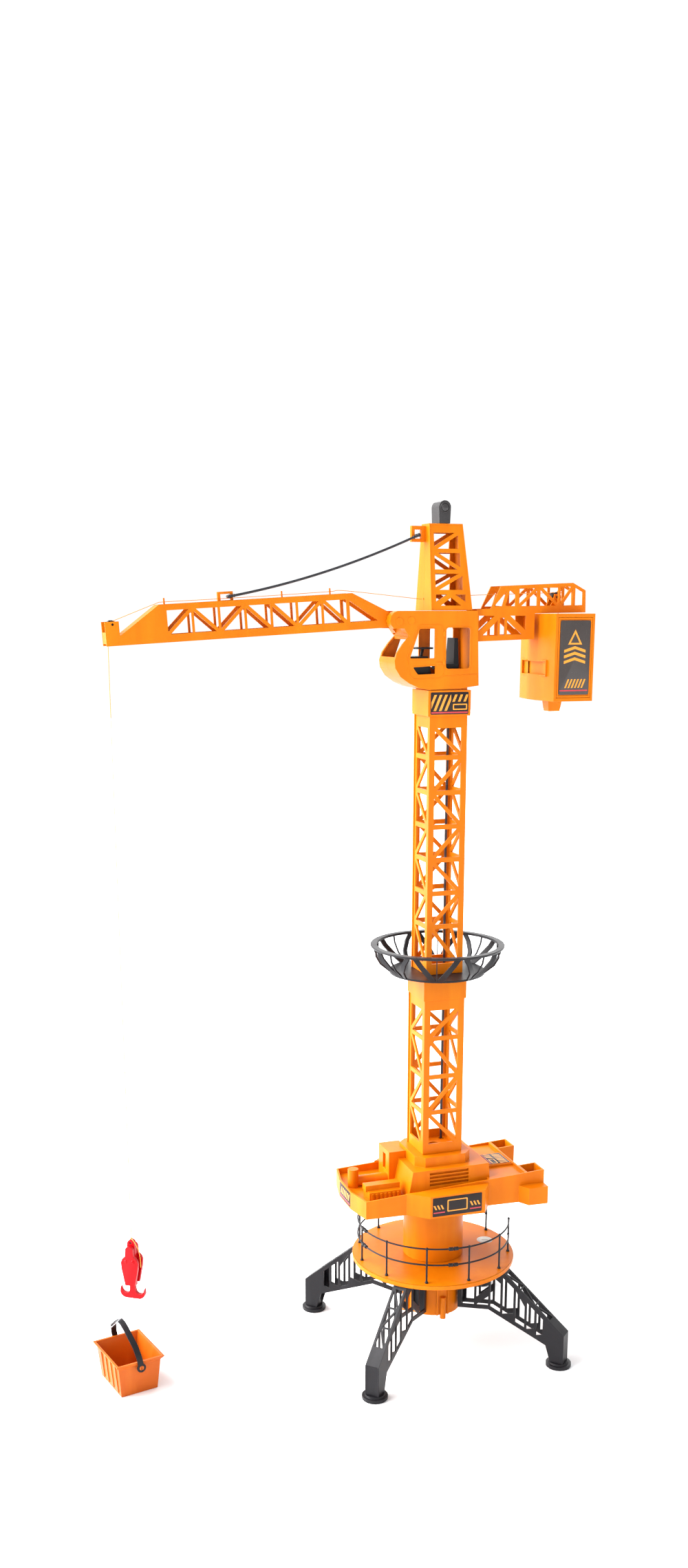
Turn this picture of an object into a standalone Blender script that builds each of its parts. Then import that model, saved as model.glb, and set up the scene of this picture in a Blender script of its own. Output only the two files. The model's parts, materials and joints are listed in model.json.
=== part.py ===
"""Toy tower crane: a slewing tower crane on four outriggers, with its hook, line and bucket.

Metres, +Z up. The jib points along -X. Heights are above the floor. Places are measured from the
mast's axis, and every object hangs under one empty that stands the mast at MAST_X, so that the
origin lies on the floor under the middle of the toy's bounding box. Left is the -Y side.
"""

import math

import bmesh
import bpy
from mathutils import Matrix, Vector

# ---------------------------------------------------------------- driving dimensions
MAST_X = 0.158625
GAP = 0.0003  # clearance between pieces that touch

FOOT_CIRCLE = 0.213  # radius on which the foot pads stand
PAD_RADIUS = 0.0195
PAD_HEIGHT = 0.0082
LEG_WIDTH = 0.022
LEG_WALL = 0.0022

DISC_RADIUS = 0.1275
DISC_BOTTOM = 0.141
DISC_TOP = 0.149
COLUMN_BOTTOM = 0.058
COLUMN_LOWER = 0.044
COLUMN_UPPER = 0.047
COLUMN_TOP = 0.242
COLUMN_WALL = 0.0025
NECK_RADIUS = 0.018
RAIL_CIRCLE = 0.1186
RAIL_TOP = 0.2045
RAIL_MID = 0.1785
RAIL_BAR = 0.0013

CHASSIS_HALF = 0.0715
CHASSIS_NOSE = -0.1465
CHASSIS_FRONT = -0.137
CHASSIS_REAR = 0.155
DECK_REAR = 0.126
POCKET_INNER = 0.038
CHASSIS_WALL = 0.0026
HOUSE_TOP = 0.309
COLLAR_TOP = 0.3245
SOCKET = 0.0286  # half width of every square mast socket
PLUG = 0.0282  # half width of every square mast plug

LOWER_HALF = 0.032
LOWER_FOOT = COLLAR_TOP + GAP
LOWER_LIP = 0.568
LOWER_TOP = 0.6035
UPPER_HALF = 0.029
UPPER_FOOT = 0.607
UPPER_SHOULDER = 0.986
UPPER_TOP = 1.022
MAST_WALL = 0.003
WIRE_AT = 0.0195  # the wire stands this far from both middle planes of the mast
WIRE_RADIUS = 0.0019

BASKET_RIM = 0.101
BASKET_RIM_Z = 0.647
BASKET_FLOOR = 0.072

CAB_HALF = 0.032
CAB_WALL = 0.0022
CAB_BOTTOM = 1.0255
ROOF = 1.1315
PIVOT_X, PIVOT_Z = -0.0773, 1.1172  # the jib's hinge
PIN_RADIUS = 0.003

HEAD_TOP = 1.249
HEAD_WALL = 0.0024
LAMP_TOP = 1.280

JIB_DROOP = math.radians(3.33)
JIB_HALF = 0.015
JIB_TIP = 0.4055  # from the hinge
JIB_LOW, JIB_HIGH = -0.0078, 0.0416  # chord faces above and below the hinge, square to the jib
JIB_WALL = 0.0024

RAIL_HALF = 0.0185  # half width of the counter-jib
BOX_LEFT, BOX_RIGHT = 0.1435, 0.2125
BOX_HALF = 0.057
BOX_BOTTOM, BOX_TOP = 1.0045, 1.1275

TIP_ROLLER = (0.3952, 0.0198, 0.0038)  # along the jib, above its hinge line, radius
TAIL_ROLLER = (0.1755, 1.1505, 0.0055)  # x, z, radius
DRUM = (0.1715, 1.084, 0.0090)  # x, z, radius of the core
LINE = 0.0005  # radius of the hoist line

GEAR_MODULE = 0.0016
SLEW_TEETH, SLEW_PINION_TEETH = 36, 9
DRUM_TEETH, DRUM_PINION_TEETH = 24, 8

HOOK_TOP = 0.2375
HOOK_TURN = math.radians(-34)

BUCKET_X, BUCKET_Y = -0.4865, 0.0129
BUCKET_TURN = math.radians(12.5)
BUCKET_HEIGHT = 0.055
BAIL_PIN = 0.0457
BAIL_LEAN = math.radians(10)

# ---------------------------------------------------------------- scene


def clear_scene():
    for obj in list(bpy.data.objects):
        bpy.data.objects.remove(obj)


def new_collection(name):
    made = bpy.data.collections.new(name)
    bpy.context.scene.collection.children.link(made)
    return made


def material(name, colour, roughness, metallic=0.0):
    made = bpy.data.materials.new(name)
    made.use_nodes = True
    shader = made.node_tree.nodes["Principled BSDF"]
    shader.inputs["Base Color"].default_value = (*colour, 1.0)
    shader.inputs["Roughness"].default_value = roughness
    shader.inputs["Metallic"].default_value = metallic
    return made


clear_scene()
PARTS = new_collection("toy_tower_crane")
CUTTERS = new_collection("cutters")
ORANGE = material("orange_plastic", (0.95, 0.33, 0.02), 0.3)
BLACK = material("black_plastic", (0.018, 0.018, 0.02), 0.35)
RED = material("red_plastic", (0.85, 0.02, 0.03), 0.3)
BUCKET_ORANGE = material("bucket_plastic", (0.93, 0.3, 0.02), 0.4)
STEEL = material("steel", (0.6, 0.6, 0.62), 0.3, 1.0)
YELLOW = material("yellow_line", (0.9, 0.6, 0.05), 0.7)
WHITE = material("white_plastic", (0.8, 0.8, 0.78), 0.4)
GREEN = material("circuit_board", (0.02, 0.2, 0.07), 0.5)

CRANE = bpy.data.objects.new("crane", None)
CRANE.location = (MAST_X, 0, 0)
PARTS.objects.link(CRANE)


def empty(name, matrix, parent=CRANE):
    """An empty that carries a sub-assembly, placed in its parent's frame."""
    made = bpy.data.objects.new(name, None)
    made.parent = parent
    made.matrix_local = matrix
    PARTS.objects.link(made)
    return made


# ---------------------------------------------------------------- shapes, each a mesh of closed bodies
def facing_out(bm, name):
    bmesh.ops.remove_doubles(bm, verts=bm.verts, dist=1e-6)
    bmesh.ops.recalc_face_normals(bm, faces=bm.faces)
    mesh = bpy.data.meshes.new(name)
    bm.to_mesh(mesh)
    bm.free()
    return mesh


def box(low, high):
    """A box between two corners."""
    size = [b - a for a, b in zip(low, high)]
    centre = [(a + b) / 2 for a, b in zip(low, high)]
    bm = bmesh.new()
    bmesh.ops.create_cube(bm, size=1.0, matrix=Matrix.Translation(centre) @ Matrix.Diagonal((*size, 1)))
    return facing_out(bm, "box")


def tapered(low, high, top_low, top_high):
    """A box whose upper face is another rectangle: (x, y) corners of the top, heights from low and high."""
    bm = bmesh.new()
    bmesh.ops.create_cube(bm, size=1.0)
    for vert in bm.verts:
        upper = vert.co.z > 0
        a, b = (top_low, top_high) if upper else (low, high)
        x = b[0] if vert.co.x > 0 else a[0]
        y = b[1] if vert.co.y > 0 else a[1]
        vert.co = (x, y, high[2] if upper else low[2])
    return facing_out(bm, "tapered")


def rod(start, end, radius, sides=12, end_radius=None):
    """A round bar between two points."""
    start, end = Vector(start), Vector(end)
    along = end - start
    turn = along.to_track_quat("Z", "Y").to_matrix().to_4x4()
    bm = bmesh.new()
    bmesh.ops.create_cone(
        bm,
        cap_ends=True,
        segments=sides,
        radius1=radius,
        radius2=radius if end_radius is None else end_radius,
        depth=along.length,
        matrix=Matrix.Translation((start + end) / 2) @ turn,
    )
    return facing_out(bm, "rod")


def in_xy(z=0.0):
    return Matrix.Translation((0, 0, z))


def in_xz(y=0.0):
    """An outline's second number becomes a height, and its thickness lies along Y."""
    return Matrix(((1, 0, 0, 0), (0, 0, -1, y), (0, 1, 0, 0), (0, 0, 0, 1)))


def in_yz(x=0.0):
    return Matrix(((0, 0, 1, x), (1, 0, 0, 0), (0, 1, 0, 0), (0, 0, 0, 1)))


def made_mesh(obj):
    """The evaluated mesh of a guide object, which is then removed."""
    CUTTERS.objects.link(obj)
    graph = bpy.context.evaluated_depsgraph_get()
    mesh = bpy.data.meshes.new_from_object(obj.evaluated_get(graph))
    bpy.data.objects.remove(obj)
    bm = bmesh.new()
    bm.from_mesh(mesh)
    return bm


def plate(outline, thickness, frame, holes=()):
    """A flat outline with holes, as thick as given, centred on the frame's plane."""
    curve = bpy.data.curves.new("outline", "CURVE")
    curve.dimensions = "2D"
    curve.fill_mode = "BOTH"
    curve.extrude = thickness / 2
    for points in (outline, *holes):
        spline = curve.splines.new("POLY")
        spline.points.add(len(points) - 1)
        for point, (a, b) in zip(spline.points, points):
            point.co = (a, b, 0, 1)
        spline.use_cyclic_u = True
    bm = made_mesh(bpy.data.objects.new("outline", curve))
    bm.transform(frame)
    return facing_out(bm, "plate")


def turned(profile, sides, centre=(0, 0), closed=True):
    """A profile of (radius, height) points turned about a vertical axis."""
    bm = bmesh.new()
    verts = [bm.verts.new((r, 0, z)) for r, z in profile]
    pairs = list(zip(verts, verts[1:])) + ([(verts[-1], verts[0])] if closed else [])
    for a, b in pairs:
        bm.edges.new((a, b))
    mesh = bpy.data.meshes.new("profile")
    bm.to_mesh(mesh)
    bm.free()
    obj = bpy.data.objects.new("profile", mesh)
    screw = obj.modifiers.new("turn", "SCREW")
    screw.steps = screw.render_steps = sides
    screw.use_merge_vertices = True
    screw.merge_threshold = 1e-6
    bm = made_mesh(obj)
    bm.transform(Matrix.Translation((*centre, 0)))
    return facing_out(bm, "turned")


def tube(points, radius, resolution=2):
    """A wire through the points, with closed ends."""
    curve = bpy.data.curves.new("wire", "CURVE")
    curve.dimensions = "3D"
    curve.bevel_depth = radius
    curve.bevel_resolution = resolution
    curve.use_fill_caps = True
    spline = curve.splines.new("POLY")
    spline.points.add(len(points) - 1)
    for point, place in zip(spline.points, points):
        point.co = (*place, 1)
    bm = made_mesh(bpy.data.objects.new("wire", curve))
    return facing_out(bm, "wire")


def ribbon(points, across, width, thickness):
    """A flat bar through the points: across gives its width's direction at each point."""
    bm = bmesh.new()
    rings = []
    for index, point in enumerate(points):
        before = Vector(points[max(index - 1, 0)])
        after = Vector(points[min(index + 1, len(points) - 1)])
        side = Vector(across[index]).normalized()
        face = (after - before).cross(side).normalized()
        corners = ((-1, -1), (1, -1), (1, 1), (-1, 1))
        rings.append(
            [
                bm.verts.new(Vector(point) + side * (a * width / 2) + face * (b * thickness / 2)) for a,
                b in corners
            ]
        )
    for first, second in zip(rings, rings[1:]):
        for k in range(4):
            bm.faces.new((first[k], first[(k + 1) % 4], second[(k + 1) % 4], second[k]))
    bm.faces.new(rings[0])
    bm.faces.new(rings[-1])
    return facing_out(bm, "ribbon")


def turned_by(mesh, matrix):
    mesh.transform(matrix)
    return mesh


def joined(meshes):
    bm = bmesh.new()
    for mesh in meshes:
        bm.from_mesh(mesh)
    made = bpy.data.meshes.new("joined")
    bm.to_mesh(made)
    bm.free()
    return made


def helper(name, mesh, parent):
    obj = bpy.data.objects.new(name, mesh)
    obj.hide_render = True
    obj.display_type = "WIRE"
    obj.parent = parent
    CUTTERS.objects.link(obj)
    return obj


def combine(obj, operation, meshes, parent):
    boolean = obj.modifiers.new(operation.lower(), "BOOLEAN")
    boolean.operation = operation
    boolean.solver = "EXACT"
    boolean.use_self = True
    boolean.object = helper(obj.name + "_" + operation.lower(), joined(meshes), parent)


def add(name, finish, bodies, cuts=(), parent=CRANE, origin=(0, 0, 0), extras=()):
    """One part: its bodies joined into one, less the cuts, with extras put in afterwards.

    origin moves the object's own origin there.
    """
    bodies, extras = list(bodies), list(extras)
    if not cuts and len(bodies) > 1:
        extras.append(bodies.pop())
    obj = bpy.data.objects.new(name, turned_by(joined(bodies), Matrix.Translation(-Vector(origin))))
    obj.parent = parent
    obj.location = origin
    PARTS.objects.link(obj)
    obj.data.materials.append(finish)
    if cuts:
        combine(obj, "DIFFERENCE", cuts, parent)
    if extras:
        combine(obj, "UNION", extras, parent)
    obj.data.shade_smooth()
    obj.data.set_sharp_from_angle(angle=math.radians(30))
    return obj


# ---------------------------------------------------------------- outlines
def mirrored(points):
    """The outline followed by its mirror image across the first axis."""
    return list(points) + [(a, -b) for a, b in reversed(points)]


def rectangle(left, low, right, high):
    return [(left, low), (right, low), (right, high), (left, high)]


def arc(centre, radius, start, end, steps):
    """Points along an arc, angles in degrees."""
    angles = [math.radians(start + (end - start) * k / steps) for k in range(steps + 1)]
    return [(centre[0] + radius * math.cos(t), centre[1] + radius * math.sin(t)) for t in angles]


def rounded(left, low, right, high, radius, steps=2):
    """A rectangle with round corners."""
    corners = ((right, low, -90), (right, high, 0), (left, high, 90), (left, low, 180))
    points = []
    for a, b, start in corners:
        centre = (a + (radius if a == left else -radius), b + (radius if b == low else -radius))
        points += arc(centre, radius, start, start + 90, steps)
    return points


def diagonal_holes(left, low, right, high, bar, rising):
    """The two triangles that one diagonal bar leaves in a rectangular bay."""
    width, height = right - left, high - low
    length = math.hypot(width, height)
    up, along = bar / 2 * length / width, bar / 2 * length / height
    upper = [(left, low + up), (right - along, high), (left, high)]
    lower = [(left + along, low), (right, low), (right, high - up)]
    if rising:
        return [upper, lower]
    return [[(left + right - a, b) for a, b in reversed(hole)] for hole in (upper, lower)]


def ladder_holes(left, right, levels, rung, bar, first_rising):
    """Triangular windows of a braced ladder, from the top level down, diagonals alternating."""
    holes = []
    for index, (high, low) in enumerate(zip(levels, levels[1:])):
        rising = (index % 2 == 0) == first_rising
        holes += diagonal_holes(left, low + rung / 2, right, high - rung / 2, bar, rising)
    return holes


def gear_outline(teeth, module, backlash=0.12):
    """A spur gear with straight flanks, thin enough to run with play. A tooth points along +X."""
    pitch = teeth * module / 2
    step = 2 * math.pi / teeth
    root, tip = pitch - 1.1 * module, pitch + 0.8 * module
    points = []
    for tooth in range(teeth):
        middle = tooth * step
        for radius, share in ((root, 0.36), (tip, 0.13), (tip, -0.13), (root, -0.36)):
            angle = middle - step * (share - math.copysign(backlash * 0.5, share) * 0.5)
            points.append((radius * math.cos(angle), radius * math.sin(angle)))
    return points


def turned_outline(points, angle, centre=(0, 0)):
    c, s = math.cos(angle), math.sin(angle)
    return [(centre[0] + a * c - b * s, centre[1] + a * s + b * c) for a, b in points]


def disc_outline(radius, steps=24, centre=(0, 0)):
    return arc(centre, radius, 0, 360 - 360 / steps, steps - 1)


# ---------------------------------------------------------------- base
def build_leg(name, angle):
    """An outrigger: two latticed side walls and a latticed top, open below, with a square foot post."""
    box_in, box_out = FOOT_CIRCLE - 0.0105, FOOT_CIRCLE + 0.0105
    shoulder_r, shoulder_z = 0.124, DISC_BOTTOM - 0.0006
    inner = COLUMN_LOWER + 0.0045
    profile = [
        (inner, 0.066),
        (0.100, 0.0735),
        (box_in - 0.008, 0.0345),
        (box_in, PAD_HEIGHT + GAP),
        (box_out, PAD_HEIGHT + GAP),
        (box_out, 0.0555),
        (shoulder_r, shoulder_z),
        (inner, shoulder_z),
    ]
    slope = (0.0555 - shoulder_z) / (box_out - shoulder_r)

    def top(r):
        return min(shoulder_z, shoulder_z + slope * (r - shoulder_r)) - 0.0085

    def low(r):
        if r < 0.1:
            return 0.0725 + 0.0075 * (r - inner) / (0.1 - inner)
        return 0.08 - 0.415 * (r - 0.1)

    stations = [0.0535, 0.0775, 0.101, 0.121, 0.1425, 0.161, 0.177, 0.191]
    windows = []
    for index, (a, b) in enumerate(zip(stations, stations[1:])):
        a, b = a + 0.0017, b - 0.0017
        corner = 0.2 * (top(a) - low(a))
        if index in (0, 2, 4):
            windows.append([(a, low(a)), (b, low(b)), (b, top(b) - corner), (a, top(a))])
        elif index == 1:
            windows.append([(a, low(a)), (b, low(b)), (b, low(b) + 1.4 * corner)])
            windows.append([(a, low(a) + 1.2 * corner), (b, low(b) + 2.6 * corner), (b, top(b)), (a, top(a))])
        else:
            windows.append([(a, low(a)), (b, low(b) + corner), (b, top(b)), (a, top(a))])
    wall = LEG_WIDTH / 2 - LEG_WALL / 2
    sides = [plate(profile, LEG_WALL, in_xz(y), windows) for y in (-wall, wall)]
    inside = LEG_WIDTH / 2 - 0.0004
    cap_thickness = 0.0024
    run = math.hypot(box_out - shoulder_r, 0.0555 - shoulder_z)
    cap_frame = (
        Matrix.Translation((shoulder_r, 0, shoulder_z))
        @ Matrix.Rotation(-math.atan(slope), 4, "Y")
        @ in_xy(-cap_thickness / 2)
    )
    bays = [0.004 + k * (run - 0.034) / 3 for k in range(4)]
    cap_holes = []
    for index, (a, b) in enumerate(zip(bays, bays[1:])):
        cap_holes += diagonal_holes(a + 0.0012, -0.0072, b - 0.0012, 0.0072, 0.0028, index % 2 == 0)
    cap = plate(rectangle(-0.0005, -inside, run - 0.0006, inside), cap_thickness, cap_frame, cap_holes)
    flat_top = box(
        (inner + 0.001, -inside, shoulder_z - 0.0024),
        (shoulder_r + 0.0012, inside, shoulder_z - 0.0001)
    )
    post = box((box_in + 0.0004, -inside, PAD_HEIGHT + GAP + 0.0001), (box_out - 0.0002, inside, 0.0552))
    end = box((inner + 0.0002, -inside, 0.0662), (inner + 0.0024, inside, shoulder_z - 0.0002))
    add(
        name, BLACK, [*sides, cap, flat_top, post, end],
        parent=empty(name + "_place", Matrix.Rotation(angle, 4, "Z"))
    )


def build_pad(name, angle):
    x, y = FOOT_CIRCLE * math.cos(angle), FOOT_CIRCLE * math.sin(angle)
    profile = [
        (0, 0),
        (PAD_RADIUS - 0.0008, 0),
        (PAD_RADIUS, 0.0008),
        (PAD_RADIUS, 0.0056),
        (0.0155, 0.0058),
        (0.0148, PAD_HEIGHT),
        (0, PAD_HEIGHT),
    ]
    add(name, BLACK, [turned(profile, 20, (x, y), closed=False)])


def build_column():
    top, wall = COLUMN_TOP, COLUMN_WALL
    profile = [
        (COLUMN_LOWER, COLUMN_BOTTOM),
        (COLUMN_LOWER, DISC_TOP + GAP),
        (COLUMN_UPPER, DISC_TOP + GAP),
        (COLUMN_UPPER, top - 0.001),
        (COLUMN_UPPER - 0.001, top),
        (NECK_RADIUS, top),
        (NECK_RADIUS, 0.262),
        (NECK_RADIUS - 0.006, 0.262),
        (NECK_RADIUS - 0.006, top - 0.003),
        (COLUMN_UPPER - wall, top - 0.003),
        (COLUMN_UPPER - wall, DISC_TOP + 0.003),
        (COLUMN_LOWER - wall, DISC_TOP + 0.003),
        (COLUMN_LOWER - wall, COLUMN_BOTTOM),
    ]
    bodies = [turned(profile, 32)]
    for quarter in range(4):
        middle = math.radians(90 * quarter - 90)
        for offset in (-0.2, 0.2):
            angle = middle + offset
            rib = box(
                (COLUMN_LOWER - 0.0012, -0.0012, COLUMN_BOTTOM + 0.0004),
                (COLUMN_LOWER + 0.0022, 0.0012, DISC_BOTTOM - 0.0006)
            )
            bodies.append(turned_by(rib, Matrix.Rotation(angle, 4, "Z")))
        reach = COLUMN_LOWER + 0.0018
        foot = (reach * math.cos(middle), reach * math.sin(middle), COLUMN_BOTTOM - 0.0045)
        bodies.append(rod(foot, (foot[0], foot[1], 0.089), 0.0046, 12))
    add("base_column", ORANGE, bodies)


def build_disc():
    hole = COLUMN_LOWER + GAP
    profile = [
        (hole, DISC_BOTTOM),
        (DISC_RADIUS - 0.001, DISC_BOTTOM),
        (DISC_RADIUS, DISC_BOTTOM + 0.001),
        (DISC_RADIUS, DISC_TOP - 0.001),
        (DISC_RADIUS - 0.001, DISC_TOP),
        (hole, DISC_TOP),
    ]
    add("base_disc", ORANGE, [turned(profile, 56)])


def build_railing(name, start, end, posts):
    """One segment of the railing, from one sleeve to the next, angles in degrees."""
    steps = max(4, round(abs(end - start) / 10))
    bodies = []
    for z in (RAIL_TOP, RAIL_MID):
        line = [(a, b, z) for a, b in arc((0, 0), RAIL_CIRCLE, start, end, steps)]
        bodies.append(tube(line, RAIL_BAR, 0))
    for angle in posts:
        x, y = (RAIL_CIRCLE * f(math.radians(angle)) for f in (math.cos, math.sin))
        bodies.append(rod((x, y, DISC_TOP + GAP), (x, y, RAIL_TOP + 0.0002), 0.0014, 6))
        bodies.append(rod((x, y, DISC_TOP + GAP + 0.0001), (x, y, DISC_TOP + 0.0032), 0.0026, 6, 0.0018))
    for angle, is_joint in ((start, start not in posts), (end, end not in posts)):
        if not is_joint:
            continue
        inward = 3.4 if angle == start else -3.4
        for z in (RAIL_TOP, RAIL_MID):
            ends = arc((0, 0), RAIL_CIRCLE, angle, angle + inward, 1)
            bodies.append(rod((*ends[0], z), (*ends[1], z), 0.0028, 6))
    add(name, BLACK, bodies)


def build_base():
    build_column()
    build_disc()
    for index, name in enumerate(("rear_right", "front_right", "front_left", "rear_left")):
        angle = math.radians(45 + 90 * index)
        build_leg("leg_" + name, angle)
        build_pad("foot_pad_" + name, angle)
    posts = [21 + 31.8 * k for k in range(11)]
    sleeve = 0.2
    build_railing("railing_rear_right", posts[0], 97 - sleeve, posts[:3])
    build_railing("railing_front_right", 97 + sleeve, 185 - sleeve, posts[3:6])
    build_railing("railing_front_left", 185 + sleeve, 263 - sleeve, posts[6:8])
    build_railing("railing_rear_left", 263 + sleeve, posts[-1], posts[8:])
    ring = gear_outline(SLEW_TEETH, GEAR_MODULE)
    hole = disc_outline(NECK_RADIUS + GAP, 28)
    add("slew_ring_gear", WHITE, [plate(ring, 0.005, in_xy(0.2565), [hole])])


# ---------------------------------------------------------------- chassis
def chassis_outline(inset=0.0):
    """The chassis in plan, as seen from above, optionally pulled in all round."""
    half = CHASSIS_HALF - inset
    right = [
        (CHASSIS_NOSE + inset, 0.027),
        (CHASSIS_FRONT + inset, half),
        (CHASSIS_REAR - inset, half),
        (CHASSIS_REAR - inset, POCKET_INNER + inset),
        (DECK_REAR - inset, POCKET_INNER + inset),
    ]
    return mirrored(right)


def less(body, cuts):
    """A closed mesh with the cuts taken out of it straight away."""
    obj = bpy.data.objects.new("block", body)
    combine(obj, "DIFFERENCE", cuts, None)
    cutter = obj.modifiers[0].object
    mesh = facing_out(made_mesh(obj), "block")
    bpy.data.objects.remove(cutter)
    return mesh


def build_chassis_top():
    wall = CHASSIS_WALL
    bodies = [plate(chassis_outline(), 0.0525, in_xy(0.26675))]
    house = tapered(
        (-0.066, -0.0605, 0.2665), (0.069, 0.0605, HOUSE_TOP), (-0.0575, -0.0585), (0.067, 0.0585)
    )
    bodies.append(house)
    collar = 0.0455
    cut = 0.013
    octagon = mirrored(
        [(-collar, collar - cut), (-collar + cut, collar), (collar - cut, collar), (collar, collar - cut)]
    )
    bodies.append(plate(octagon, COLLAR_TOP - HOUSE_TOP + 0.002, in_xy((COLLAR_TOP + HOUSE_TOP - 0.002) / 2)))
    intake = box((-0.0735, 0.004, 0.267), (-0.040, 0.050, 0.3205))
    bodies.append(intake)
    # cylinder, post and ribbed block in the front tray
    bodies.append(rod((-0.129, 0.013, 0.2662), (-0.129, 0.013, 0.2975), 0.0083, 16))
    bodies.append(rod((-0.128, 0.016, 0.2755), (-0.0705, 0.016, 0.2755), 0.0085, 16))
    bodies.append(box((-0.1245, -0.051, 0.2665), (-0.0745, -0.022, 0.2815)))
    bodies.append(box((-0.1275, -0.0415, 0.2805), (-0.0725, -0.0265, 0.2895)))
    for rib in range(7):
        x = -0.1215 + 0.0068 * rib
        bodies.append(box((x, -0.0528, 0.2668), (x + 0.0032, -0.0505, 0.2795)))
    for side in (-1, 1):
        near, far = side * (CHASSIS_HALF - 0.001), side * 0.0955
        boss = [(-0.074, near), (-0.0435, far), (0.0455, far), (0.0625, near)]
        bodies.append(plate(boss if side < 0 else boss[::-1], 0.0415, in_xy(0.26125)))
        lug = [(0.112, near), (0.1225, side * 0.088), (0.1545, side * 0.088), (0.1545, near)]
        bodies.append(plate(lug if side < 0 else lug[::-1], 0.0305, in_xy(0.25575)))
    # raised rim of the hatch on the rear deck
    bodies.append(box((0.084, -0.0245, 0.2840), (0.1246, 0.0245, 0.2893)))

    slope = 0.015 / 0.29
    left, right = -0.16, 0.17
    over = [
        (left, 0.277 + slope * (left - CHASSIS_FRONT)),
        (right, 0.277 + slope * (right - CHASSIS_FRONT)),
        (right, 0.300),
        (left, 0.300),
    ]
    under = [(left, 0.240), (right, 0.240), (right, 0.2425), (left, 0.2495)]
    rim = CHASSIS_HALF - wall
    nose = [(CHASSIS_NOSE + wall, 0.026), (CHASSIS_FRONT + wall, rim)]
    trims = [
        plate(over, 0.2, in_xz()),
        plate(mirrored([*nose, (-0.0560, rim)]), 0.040, in_xy(0.2882)),
        box((-0.0570, -rim, 0.2742), (0.0640, -0.0560, 0.31)),
        box((-0.0570, 0.0560, 0.2742), (0.0640, rim, 0.31)),
        box((0.0630, -rim, 0.2862), (DECK_REAR - wall, rim, 0.31)),
    ]
    # The plan block is trimmed before the housing and the tray's fittings join it.
    bodies[0] = less(bodies[0], trims)
    rear_cavity = box((0.060, -rim, 0.235), (DECK_REAR - wall, rim, 0.2832))
    cuts = [
        plate(under, 0.2, in_xz()),
        plate(mirrored([*nose, (-0.058, rim)]), 0.031, in_xy(0.2500)),
        box((-0.060, -rim, 0.235), (0.062, rim, 0.2712)),
        box((-0.0545, -0.0505, 0.235), (0.063, 0.0505, 0.3055)),
        rear_cavity,
        box((-SOCKET, -SOCKET, 0.300), (SOCKET, SOCKET, COLLAR_TOP + 0.01)),
        box((-0.0760, 0.0180, 0.2875), (-0.0700, 0.031, 0.3125)),
        box((0.0745, -0.0010, 0.280), (0.0795, 0.0110, 0.292)),
        box((0.0855, -0.0230, 0.280), (0.1220, 0.0230, 0.292)),
    ]
    for side in (-1, 1):
        near, far = sorted((side * (POCKET_INNER + wall), side * rim))
        cuts.append(box((DECK_REAR + wall - 0.001, near, 0.262), (CHASSIS_REAR - wall, far, 0.31)))
        cuts.append(box((DECK_REAR + wall - 0.001, near, 0.235), (CHASSIS_REAR - wall, far, 0.2595)))
        near, far = sorted((side * (CHASSIS_HALF + 0.0005), side * 0.0930))
        cuts.append(box((-0.040, near, 0.235), (0.042, far, 0.2795)))
        for slat in range(4):
            z = 0.2835 + 0.0058 * slat
            near, far = sorted((side * 0.0545, side * 0.066))
            cuts.append(box((-0.0305, near, z), (0.0335, far, z + 0.0042)))
    add("chassis_top", ORANGE, bodies, cuts)


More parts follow.
